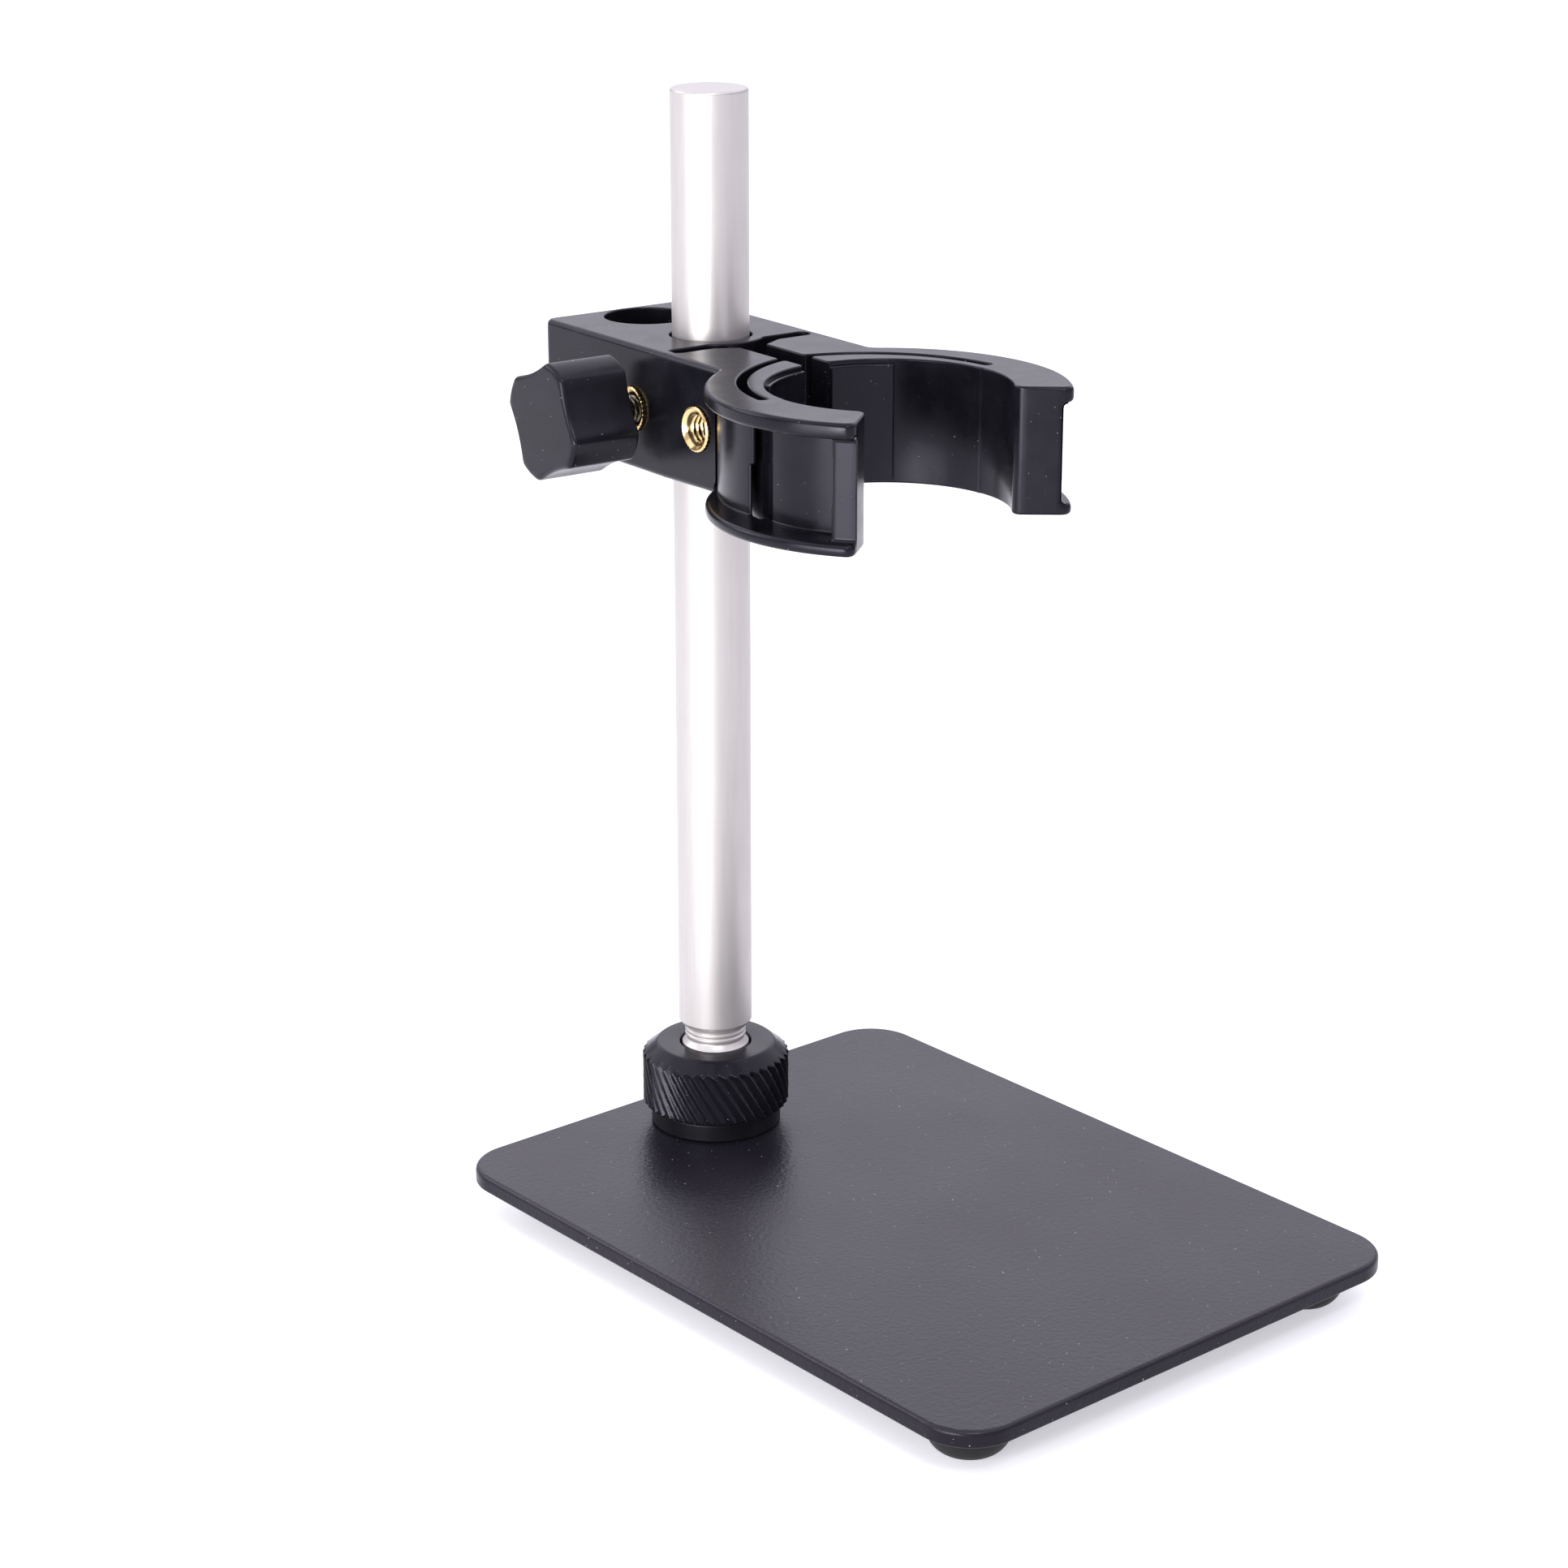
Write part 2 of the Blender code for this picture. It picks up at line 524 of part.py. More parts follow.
def main():
    """Build the whole stand."""
    clear_scene()
    materials = {
        "coated_steel": make_material("coated_steel", (0.115, 0.108, 0.125), 0.55, 0.2),
        "foot_rubber": make_material("foot_rubber", (0.03, 0.03, 0.035), 0.7),
        "boss_metal": make_material("boss_metal", (0.03, 0.03, 0.035), 0.45, 0.3),
        "screw_steel": make_material("screw_steel", (0.62, 0.62, 0.62), 0.35, 1.0),
        "pole_aluminium": make_material("pole_aluminium", (0.82, 0.82, 0.83), 0.35, 1.0),
        "washer_nylon": make_material("washer_nylon", (0.75, 0.74, 0.70), 0.5),
        "pad_nylon": make_material("pad_nylon", (0.75, 0.74, 0.70), 0.5),
        "nut_plastic": make_material("nut_plastic", (0.028, 0.028, 0.032), 0.4),
        "holder_plastic": make_material("holder_plastic", (0.03, 0.03, 0.034), 0.38),
        "knob_plastic": make_material("knob_plastic", (0.032, 0.032, 0.036), 0.4),
        "insert_brass": make_material("insert_brass", (0.80, 0.58, 0.27), 0.25, 1.0),
    }
    make_base(materials)
    make_pole_mount(materials)
    make_block(materials)
    for side in ("left", "right"):
        make_jaw(side, materials)
    make_inserts(materials)
    make_clamp_screw(materials)


main()
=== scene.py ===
"""The look of the small bench stand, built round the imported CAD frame. Metres, +Z up."""

import json
import math

import bmesh
import bpy
from mathutils import Matrix, Vector


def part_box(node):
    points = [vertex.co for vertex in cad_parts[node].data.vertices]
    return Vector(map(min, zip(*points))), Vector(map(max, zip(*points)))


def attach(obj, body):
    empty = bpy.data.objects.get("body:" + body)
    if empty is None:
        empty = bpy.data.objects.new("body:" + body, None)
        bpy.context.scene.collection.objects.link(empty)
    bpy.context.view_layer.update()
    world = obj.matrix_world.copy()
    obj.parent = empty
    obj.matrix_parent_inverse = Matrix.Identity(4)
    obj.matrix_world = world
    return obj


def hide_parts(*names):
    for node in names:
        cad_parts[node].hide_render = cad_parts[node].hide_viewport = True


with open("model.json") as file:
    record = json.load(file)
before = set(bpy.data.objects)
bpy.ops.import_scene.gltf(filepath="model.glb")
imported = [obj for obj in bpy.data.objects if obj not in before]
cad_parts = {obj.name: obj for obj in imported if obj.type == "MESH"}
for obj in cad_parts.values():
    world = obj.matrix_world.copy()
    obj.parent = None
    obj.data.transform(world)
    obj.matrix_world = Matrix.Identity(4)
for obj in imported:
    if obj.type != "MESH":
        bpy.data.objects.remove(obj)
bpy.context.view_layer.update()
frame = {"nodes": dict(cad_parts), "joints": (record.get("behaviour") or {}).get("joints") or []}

MM = 0.001

# ---- places taken from the CAD frame -----------------------------------------------------

plate_low, plate_high = (Vector(corner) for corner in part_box("base_plate"))
pole_low, pole_high = (Vector(corner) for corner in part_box("pole"))
pole_axis = (pole_low + pole_high) / 2
plate_top = plate_high.z
holder_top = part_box("holder_block")[1][2]
joints = {joint["name"]: joint for joint in frame["joints"]}
screw_axis = joints["pad_travel"]["axis"]
holder_turn = math.atan2(screw_axis[1], -screw_axis[0])
screw_drop = holder_top - joints["knob_turn"]["pos_m"][2]

POLE = Matrix.Translation((pole_axis.x, pole_axis.y, plate_top))
HOLDER = (Matrix.Translation((pole_axis.x, pole_axis.y, holder_top))
          @ Matrix.Rotation(math.pi - holder_turn, 4, "Z"))

# ---- dimensions of the detail ------------------------------------------------------------
# In the holder, u runs across it to the right jaw and v runs forward from the pole's axis.
# Its angles are in degrees round the clip's ring, starting from the pole's side.

BLOCK_HEIGHT = 25.8 * MM
BLOCK_HALF = 19.1 * MM
BLOCK_BACK = -34.2 * MM
BLOCK_CORNER = 2.2 * MM
BORE_RADIUS = 8.5 * MM
BORE_WALL_RADIUS = 11.2 * MM
REAR_BORE_RADIUS = 9.0 * MM
REAR_BORE_V = -23.6 * MM
SLIT_REAR = 8.8 * MM
SLIT_FRONT = 12.4 * MM
SLIT_END = 17.0 * MM
HINGE_V = (SLIT_REAR + SLIT_FRONT) / 2
HINGE_GAP = 0.02 * MM             # the block and the jaws are separate, this far apart
JAW_HEIGHT = 25.4 * MM
CHANNEL_HALF = 3.1 * MM
ROOT_CHAMFER_U = 8.0 * MM
ROOT_CHAMFER_V = 15.1 * MM
RING_V = 60.3 * MM
RING_INNER = 24.0 * MM
RING_OUTER = 35.6 * MM
TIP_ANGLE = {"left": 132.4, "right": 130.5}
TOP_FLANGE = 3.2 * MM
BOTTOM_FLANGE = 2.4 * MM
SLOT_FAR_END = 84.0               # closed end of the slot behind the spring finger
SLOT_OUTER_END = 28.4 * MM        # radii of the slot's two sides at that end
SLOT_INNER_END = 26.4 * MM
SLOT_SWELL = 4.3 * MM             # how much farther out both sides lie at 0 degrees
SLOT_END_SHIFT = 0.1 * MM         # the slot's closed end stands a little outward
FINGER_FACE_END = 86.0            # where the finger's face steps back to the ring's
FINGER_FACE_STEP = 0.12 * MM
FINGER_END_HALF = 3.0 * MM
BOSS_WALL_END = 77.6              # end of the wall beside the root, in its lower half
BOSS_WALL_STEP = 79.8             # the same in the upper half
WINDOW_RADIUS = 25.3 * MM
PANEL_START = 91.0
PANEL_RADIUS = 27.8 * MM
RIB_START = 124.0
RIB_RADIUS = 33.6 * MM
ROOT_WALL_START = 33.6            # start of the recess beside the root
PAD_RADIUS = 23.0 * MM
PAD_START = 8.0
PAD_END = {"left": 47.0, "right": 40.0}
PAD_BELOW = 0.6 * MM              # the pads stop short of the jaw's underside and top
PAD_ABOVE = 1.0 * MM
PAD_EDGE = 0.35 * MM
INSERT_RADIUS = 4.65 * MM
INSERT_HOLE_RADIUS = 3.3 * MM
INSERT_LENGTH = 8.4 * MM
INSERT_PROUD = 0.9 * MM
JAW_INSERT_V = 22.8 * MM
THREAD_PITCH = 1.12 * MM
EMPTY_THREAD = (2.6 * MM, 0.7 * MM)             # least radius and depth of an insert's thread
STUD_CLEARING_THREAD = (2.92 * MM, 0.38 * MM)   # the same where the stud passes
STUD_TIP = -10.6 * MM
STUD_THREAD_END = -26.2 * MM
STUD_END = -34.8 * MM
KNOB_INNER = -25.9 * MM
KNOB_OUTER = -41.5 * MM
SCREW_HOLE_RADIUS = 3.3 * MM
PLAIN_EDGE = 0.4 * MM             # rounding of the holder's edges
SIDE_EDGE = 1.2 * MM              # rounding of its long outer edges
TIP_EDGE_MORE = 0.5 * MM          # what the ring's outer edges gain over the plain rounding
TIP_EDGE_START = 26.0 * MM        # radius at which they start to gain it
TIP_EDGE_REACH = 8.0 * MM
FLANGE_ZONE = 5.0 * MM            # the flanges' edges lie this near to the top or bottom
HINGE_SLOPE = 12.0 * MM           # length over which a jaw deepens to the block's height

ARC_STEP = 2.0                    # degrees between points on a long arc


# ---- mesh helpers ------------------------------------------------------------------------

def lofted(sections, closed=False):
    """A bmesh skinned through rings of 3-D points with equal counts. The ends are capped, or
    the last ring joins the first if closed."""
    builder = bmesh.new()
    rings = [[builder.verts.new(point) for point in ring] for ring in sections]
    pairs = list(zip(rings, rings[1:]))
    if closed:
        pairs.append((rings[-1], rings[0]))
    for low, high in pairs:
        for i, corner in enumerate(low):
            builder.faces.new((low[i - 1], corner, high[i], high[i - 1]))
    if not closed:
        builder.faces.new(rings[0])
        builder.faces.new(rings[-1])
    bmesh.ops.recalc_face_normals(builder, faces=builder.faces)
    return builder


def prism(outline, low, high):
    """A closed outline in plan, from z = low to z = high."""
    return lofted([[(x, y, z) for x, y in outline] for z in (low, high)])


def filleted(points, closed=False, steps=4):
    """Corners (x, y, radius) joined by lines, with each corner rounded to its radius."""
    result = []
    count = len(points)
    for i, (x, y, radius) in enumerate(points):
        at_end = not closed and i in (0, count - 1)
        if radius == 0.0 or at_end:
            result.append((x, y))
            continue
        corner = Vector((x, y))
        before = points[i - 1]
        after = points[(i + 1) % count]
        back = Vector(before[:2]) - corner
        ahead = Vector(after[:2]) - corner
        half = back.angle(ahead) / 2
        reach = min(radius / math.tan(half),
                    back.length * (0.95 if before[2] == 0.0 else 0.48),
                    ahead.length * (0.95 if after[2] == 0.0 else 0.48))
        real = reach * math.tan(half)
        centre = corner + (back.normalized() + ahead.normalized()).normalized() * (
            real / math.sin(half))
        start = corner + back.normalized() * reach - centre
        end = corner + ahead.normalized() * reach - centre
        first = math.atan2(start.y, start.x)
        sweep = (math.atan2(end.y, end.x) - first + math.pi) % math.tau - math.pi
        for k in range(steps + 1):
            angle = first + sweep * k / steps
            result.append((centre.x + real * math.cos(angle), centre.y + real * math.sin(angle)))
    return result


def turned(profile, steps=96):
    """A closed (radius, height) profile turned about Z. Points at radius 0 become poles."""
    builder = bmesh.new()
    rings = []
    for radius, height in profile:
        if radius == 0.0:
            rings.append([builder.verts.new((0.0, 0.0, height))])
            continue
        rings.append([builder.verts.new((radius * math.cos(math.tau * k / steps),
                                         radius * math.sin(math.tau * k / steps), height))
                      for k in range(steps)])
    pairs = list(zip(rings, rings[1:]))
    if profile[0][0] > 0.0:
        pairs.append((rings[-1], rings[0]))
    for low, high in pairs:
        for k in range(steps):
            corners = [low[k - 1] if len(low) > 1 else low[0]]
            if len(low) > 1:
                corners.append(low[k])
            corners.append(high[k] if len(high) > 1 else high[0])
            if len(high) > 1:
                corners.append(high[k - 1])
            if len(corners) > 2:
                builder.faces.new(corners)
    bmesh.ops.recalc_face_normals(builder, faces=builder.faces)
    return builder


def wave_turned(rings, steps):
    """A closed skin of rings, each a function from an angle to (radius, height)."""
    sections = []
    for ring in rings:
        points = []
        for k in range(steps):
            angle = math.tau * k / steps
            radius, height = ring(angle)
            points.append((radius * math.cos(angle), radius * math.sin(angle), height))
        sections.append(points)
    return lofted(sections, closed=True)


def arc(centre, radius, start, end, step=ARC_STEP):
    """Points on a circle from start to end, in degrees anticlockwise from +x."""
    count = max(2, round(abs(end - start) / step))
    angles = [math.radians(start + (end - start) * i / count) for i in range(count + 1)]
    return [(centre[0] + radius * math.cos(a), centre[1] + radius * math.sin(a)) for a in angles]


def circle(centre, radius, steps=96):
    """A full circle without a repeated last point."""
    return arc(centre, radius, 0.0, 360.0, 360.0 / steps)[:-1]


def quarter_turn(steps):
    """Angles from 0 to 90 degrees, in radians."""
    return [math.radians(90.0 * step / steps) for step in range(steps + 1)]


def even(radius, height):
    """A plain round ring for wave_turned."""
    return lambda angle: (radius, height)


def plain_object(name, builder, place):
    """Link a new object made of a bmesh, placed by a matrix."""
    mesh = bpy.data.meshes.new(name)
    builder.to_mesh(mesh)
    builder.free()
    item = bpy.data.objects.new(name, mesh)
    item.matrix_world = place
    bpy.context.scene.collection.objects.link(item)
    return item


def settle(item):
    """Turn an object's modifiers into its own mesh."""
    graph = bpy.context.evaluated_depsgraph_get()
    mesh = bpy.data.meshes.new_from_object(item.evaluated_get(graph))
    item.modifiers.clear()
    item.data = mesh


def carve(item, builder, operation="DIFFERENCE"):
    """Combine an object with a bmesh in the same place, at once."""
    tool = plain_object("tool", builder, item.matrix_world.copy())
    modifier = item.modifiers.new("carve", "BOOLEAN")
    modifier.operation = operation
    modifier.solver = "EXACT"
    modifier.object = tool
    settle(item)
    bpy.data.objects.remove(tool, do_unlink=True)


def split_ngons(item):
    """Split every face of more than four corners into triangles."""
    builder = bmesh.new()
    builder.from_mesh(item.data)
    many = [face for face in builder.faces if len(face.verts) > 4]
    bmesh.ops.triangulate(builder, faces=many, ngon_method="BEAUTY")
    builder.to_mesh(item.data)
    builder.free()


def weigh_edges(item, width_at, least=28.0):
    """Give each edge sharper than least degrees a bevel weight of width_at(start, end)."""
    builder = bmesh.new()
    builder.from_mesh(item.data)
    bmesh.ops.remove_doubles(builder, verts=builder.verts, dist=0.01 * MM)
    bmesh.ops.dissolve_limit(builder, angle_limit=math.radians(0.3), verts=builder.verts,
                             edges=builder.edges)
    layer = builder.edges.layers.float.get("bevel_weight_edge")
    if layer is None:
        layer = builder.edges.layers.float.new("bevel_weight_edge")
    for edge in builder.edges:
        if len(edge.link_faces) == 2 and edge.calc_face_angle() > math.radians(least):
            edge[layer] = width_at(edge.verts[0].co, edge.verts[1].co) / MM
        else:
            edge[layer] = 0.0
    builder.to_mesh(item.data)
    builder.free()


def round_edges(item, segments=3):
    """Bevel the weighed edges: a weight of 1 is a millimetre."""
    modifier = item.modifiers.new("round", "BEVEL")
    modifier.limit_method = "WEIGHT"
    modifier.width = 1.0 * MM
    modifier.segments = segments
    modifier.use_clamp_overlap = False
    modifier.miter_outer = "MITER_ARC"
    settle(item)


def finish_piece(item, material, body, replaced, sharp=40.0, weighted=True):
    """Shade a piece, give it its material and tie it to the frame."""
    split_ngons(item)
    item.data.shade_smooth()
    item.data.set_sharp_from_angle(angle=math.radians(sharp))
    if weighted:
        modifier = item.modifiers.new("normals", "WEIGHTED_NORMAL")
        modifier.keep_sharp = True
        settle(item)
    item.data.materials.clear()
    item.data.materials.append(material)
    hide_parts(*replaced)
    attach(item, body)
    return item


# ---- materials ---------------------------------------------------------------------------

def new_material(name, colour, roughness, metallic=0.0):
    """A Principled material and helpers to reach its nodes."""
    material = bpy.data.materials.new(name)
    material.use_nodes = True
    shader = material.node_tree.nodes["Principled BSDF"]
    shader.inputs["Base Color"].default_value = (*colour, 1.0)
    shader.inputs["Roughness"].default_value = roughness
    shader.inputs["Metallic"].default_value = metallic
    return material, material.node_tree, shader


def place_node(tree, stretch=(1.0, 1.0, 1.0)):
    """Object coordinates in millimetres, stretched."""
    coords = tree.nodes.new("ShaderNodeTexCoord")
    mapping = tree.nodes.new("ShaderNodeMapping")
    mapping.inputs["Scale"].default_value = tuple(s / MM for s in stretch)
    tree.links.new(coords.outputs["Object"], mapping.inputs["Vector"])
    return mapping.outputs["Vector"]


def noise_node(tree, place, scale, detail=3.0, rough=0.5):
    """Noise whose features are about 1/scale millimetres."""
    noise = tree.nodes.new("ShaderNodeTexNoise")
    noise.inputs["Scale"].default_value = scale
    noise.inputs["Detail"].default_value = detail
    noise.inputs["Roughness"].default_value = rough
    tree.links.new(place, noise.inputs["Vector"])
    return noise.outputs["Fac"]


def ramp_node(tree, value, low, high, low_colour, high_colour):
    """A colour ramp between two positions."""
    ramp = tree.nodes.new("ShaderNodeValToRGB")
    first, last = ramp.color_ramp.elements
    first.position = low
    last.position = high
    first.color = (*low_colour, 1.0)
    last.color = (*high_colour, 1.0)
    tree.links.new(value, ramp.inputs["Fac"])
    return ramp.outputs["Color"]


def range_node(tree, value, low, high, out_low, out_high):
    """A value mapped from one range to another."""
    mapper = tree.nodes.new("ShaderNodeMapRange")
    mapper.inputs["From Min"].default_value = low
    mapper.inputs["From Max"].default_value = high
    mapper.inputs["To Min"].default_value = out_low
    mapper.inputs["To Max"].default_value = out_high
    tree.links.new(value, mapper.inputs["Value"])
    return mapper.outputs["Result"]


def mix_colours(tree, factor, first, second):
    """first where factor is 0, second where it is 1; each a socket or a colour."""
    mix = tree.nodes.new("ShaderNodeMix")
    mix.data_type = "RGBA"
    tree.links.new(factor, mix.inputs["Factor"])
    for value, socket in ((first, mix.inputs["A"]), (second, mix.inputs["B"])):
        if isinstance(value, tuple):
            socket.default_value = (*value, 1.0)
        else:
            tree.links.new(value, socket)
    return mix.outputs["Result"]


def bump_node(tree, shader, height, distance, strength=1.0):
    """Bump the shader's normal by a height socket, distance in metres."""
    bump = tree.nodes.new("ShaderNodeBump")
    bump.inputs["Distance"].default_value = distance
    bump.inputs["Strength"].default_value = strength
    tree.links.new(height, bump.inputs["Height"])
    tree.links.new(bump.outputs["Normal"], shader.inputs["Normal"])


def moulded_plastic(name, colour, roughness, dust=0.0):
    """Satin black plastic with a fine spark texture, uneven gloss and a few dust specks."""
    material, tree, shader = new_material(name, colour, roughness)
    shader.inputs["IOR"].default_value = 1.272
    # painted light colour: the reflections are tinted lilac, standing in for the light's lilac cast
    shader.inputs["Specular Tint"].default_value = (0.87, 0.842, 1.0, 1.0)
    place = place_node(tree)
    broad = noise_node(tree, place, 0.12, 4.0)
    fine = noise_node(tree, place, 6.0, 2.0)
    tree.links.new(range_node(tree, broad, 0.3, 0.7, roughness - 0.06, roughness + 0.08),
                   shader.inputs["Roughness"])
    tint = ramp_node(tree, broad, 0.35, 0.7, tuple(c * 0.8 for c in colour),
                     tuple(c * 1.3 for c in colour))
    if dust > 0.0:
        grains = noise_node(tree, place, 2.4, 1.0)
        specks = range_node(tree, grains, 0.80 - dust, 0.83 - dust, 0.0, 1.0)
        tint = mix_colours(tree, specks, tint, (0.35, 0.35, 0.36))
    tree.links.new(tint, shader.inputs["Base Color"])
    bump_node(tree, shader, fine, 0.012 * MM)
    return material


def powder_coat(name):
    """Dark coated steel with an orange-peel grain, a few light specks and painted shade on its
    sides.
    """
    material, tree, shader = new_material(name, (0.03, 0.028, 0.034), 0.42)
    shader.inputs["IOR"].default_value = 1.368
    # painted light colour: the reflections are tinted lilac, standing in for the light's lilac cast
    shader.inputs["Specular Tint"].default_value = (0.866, 0.838, 1.0, 1.0)
    place = place_node(tree)
    broad = noise_node(tree, place, 0.03, 4.0)
    peel = noise_node(tree, place, 0.9, 3.0, 0.6)
    grains = noise_node(tree, place, 1.9, 1.0)
    tint = ramp_node(tree, broad, 0.3, 0.7, (0.006, 0.005, 0.008), (0.012, 0.0105, 0.015))
    specks = range_node(tree, grains, 0.785, 0.815, 0.0, 1.0)
    tree.links.new(mix_colours(tree, specks, tint, (0.45, 0.43, 0.45)),
                   shader.inputs["Base Color"])
    tree.links.new(range_node(tree, broad, 0.3, 0.7, 0.27, 0.35), shader.inputs["Roughness"])
    # painted shade: faces that point less upward reflect less, so the sides read darker
    facing = tree.nodes.new("ShaderNodeNewGeometry")
    side_shade_normal = tree.nodes.new("ShaderNodeSeparateXYZ")
    tree.links.new(facing.outputs["Normal"], side_shade_normal.inputs["Vector"])
    tree.links.new(range_node(tree, side_shade_normal.outputs["Z"], 0.15, 0.75, 0.22, 0.5),
                   shader.inputs["Specular IOR Level"])
    bump_node(tree, shader, peel, 0.09 * MM)
    return material


def satin_metal(name, colour, roughness, stretch=(1.0, 1.0, 1.0), metallic=1.0, groove_shade_radii=None):
    """Machined metal with a directional grain and uneven gloss. Four radii in millimetres place
    painted shade in the grooves: the metal is darker from the second to the third, fading at both
    ends."""
    material, tree, shader = new_material(name, colour, roughness, metallic)
    place = place_node(tree, stretch)
    streaks = noise_node(tree, place, 1.2, 4.0)
    broad = noise_node(tree, place_node(tree), 0.08, 3.0)
    tree.links.new(range_node(tree, broad, 0.3, 0.7, roughness - 0.04, roughness + 0.05),
                   shader.inputs["Roughness"])
    tint = ramp_node(tree, streaks, 0.3, 0.7, tuple(c * 0.95 for c in colour), colour)
    if groove_shade_radii:
        # painted shade: the metal darkens by its distance from the axis, in the thread grooves
        # where shade falls
        radius = tree.nodes.new("ShaderNodeVectorMath")
        radius.operation = "LENGTH"
        tree.links.new(place_node(tree, (1.0, 1.0, 0.0)), radius.inputs[0])
        begun = range_node(tree, radius.outputs["Value"], groove_shade_radii[0], groove_shade_radii[1], 0.0, 1.0)
        left = range_node(tree, radius.outputs["Value"], groove_shade_radii[2], groove_shade_radii[3], 1.0, 0.0)
        painted_groove_shade = tree.nodes.new("ShaderNodeMath")
        painted_groove_shade.operation = "MULTIPLY"
        tree.links.new(begun, painted_groove_shade.inputs[0])
        tree.links.new(left, painted_groove_shade.inputs[1])
        tint = mix_colours(tree, painted_groove_shade.outputs["Value"], tint, tuple(c * 0.08 for c in colour))
    tree.links.new(tint, shader.inputs["Base Color"])
    bump_node(tree, shader, streaks, 0.004 * MM)
    return material


def rubber_like(name, colour, roughness):
    """Dull rubber or nylon with a slight mottle."""
    material, tree, shader = new_material(name, colour, roughness)
    shader.inputs["IOR"].default_value = 1.3
    place = place_node(tree)
    mottle = noise_node(tree, place, 0.6, 4.0)
    fine = noise_node(tree, place, 4.0, 2.0)
    tree.links.new(ramp_node(tree, mottle, 0.3, 0.7, tuple(c * 0.8 for c in colour),
                             tuple(min(1.0, c * 1.2) for c in colour)),
                   shader.inputs["Base Color"])
    bump_node(tree, shader, fine, 0.02 * MM)
    return material


coated_steel = powder_coat("coated_steel")
foot_rubber = rubber_like("foot_rubber", (0.008, 0.008, 0.009), 0.5)
boss_metal = moulded_plastic("boss_metal", (0.005, 0.005, 0.006), 0.36)
screw_steel = satin_metal("screw_steel", (0.60, 0.60, 0.61), 0.32)
# painted shade darkens the stud's thread roots below 2.6 mm
stud_steel = satin_metal("stud_steel", (0.30, 0.26, 0.19), 0.26,
                         groove_shade_radii=(0.0, 0.1, 2.6, 2.85))
pole_aluminium = satin_metal("pole_aluminium", (0.485, 0.462, 0.452), 0.40,
                             stretch=(1.0, 1.0, 0.06), metallic=0.75)
washer_nylon = rubber_like("washer_nylon", (0.66, 0.65, 0.60), 0.5)
pad_nylon = rubber_like("pad_nylon", (0.66, 0.65, 0.60), 0.45)
nut_plastic = moulded_plastic("nut_plastic", (0.005, 0.005, 0.007), 0.18, 0.01)
holder_plastic = moulded_plastic("holder_plastic", (0.005, 0.005, 0.007), 0.20, 0.01)
knob_plastic = moulded_plastic("knob_plastic", (0.006, 0.006, 0.008), 0.22, 0.01)
# painted shade darkens the insert's thread grooves and bore from 3.05 to 3.4 mm
insert_brass = satin_metal("insert_brass", (0.76, 0.56, 0.27), 0.18,
                           groove_shade_radii=(2.75, 3.05, 3.4, 3.55))


# ---- base plate, feet and boss -----------------------------------------------------------

def rounded_rectangle(half_x, half_y, radius, z):
    """Ring of a rectangle with round corners at height z."""
    points = []
    for turn, (sx, sy) in enumerate(((1, 1), (-1, 1), (-1, -1), (1, -1))):
        centre = (sx * (half_x - radius), sy * (half_y - radius))
        points += arc(centre, radius, 90.0 * turn, 90.0 * turn + 90.0, 6.0)
    return [(x, y, z) for x, y in points]


def build_plate():
    """The steel plate, with rounded edges and the countersunk hole under the boss."""
    size = plate_high - plate_low
    middle = (plate_low + plate_high) / 2
    corner = 11.3 * MM
    top_edge = 1.0 * MM
    under_edge = 0.5 * MM
    sink_radius = 6.3 * MM
    sink_depth = 3.0 * MM
    rims = [(under_edge * (1.0 - math.sin(angle)), under_edge * (1.0 - math.cos(angle)))
            for angle in quarter_turn(4)]
    rims += [(top_edge * (1.0 - math.cos(angle)), size.z - top_edge * (1.0 - math.sin(angle)))
             for angle in quarter_turn(5)]
    sections = [rounded_rectangle(size.x / 2 - inward, size.y / 2 - inward, corner - inward, z)
                for inward, z in rims]
    place = Matrix.Translation((middle.x, middle.y, plate_low.z))
    plate = plain_object("plate", lofted(sections), place)
    hole = turned([(0.0, size.z + MM), (SCREW_HOLE_RADIUS, size.z + MM),
                   (SCREW_HOLE_RADIUS, sink_depth), (sink_radius, 0.0), (sink_radius, -MM),
                   (0.0, -MM)], 64)
    bmesh.ops.translate(hole, verts=hole.verts,
                        vec=(pole_axis.x - middle.x, pole_axis.y - middle.y, 0.0))
    carve(plate, hole)
    finish_piece(plate, coated_steel, "base", ["base_plate"])


def build_feet():
    """Domed rubber feet with a flat sole and a thin rim against the plate."""
    for end in ("front", "rear"):
        for side in ("left", "right"):
            node = f"foot_{end}_{side}"
            low, high = (Vector(corner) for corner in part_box(node))
            radius = (high.x - low.x) / 2 - 0.8 * MM
            height = high.z - low.z
            shoulder = height - 1.0 * MM
            lip = 0.3 * MM
            sole = 4.6 * MM
            dimple = 0.5 * MM
            profile = [(0.0, height), (radius - lip, height), (radius, height - lip)]
            profile += [(sole + (radius - sole) * math.cos(angle),
                         shoulder * (1.0 - math.sin(angle))) for angle in quarter_turn(12)]
            profile += [(2.6 * MM, 0.0), (2.2 * MM, dimple), (0.0, dimple)]
            place = Matrix.Translation(((low.x + high.x) / 2, (low.y + high.y) / 2, low.z))
            foot = plain_object(f"{node}_dome", turned(profile, 64), place)
            finish_piece(foot, foot_rubber, "base", [node], 50.0)


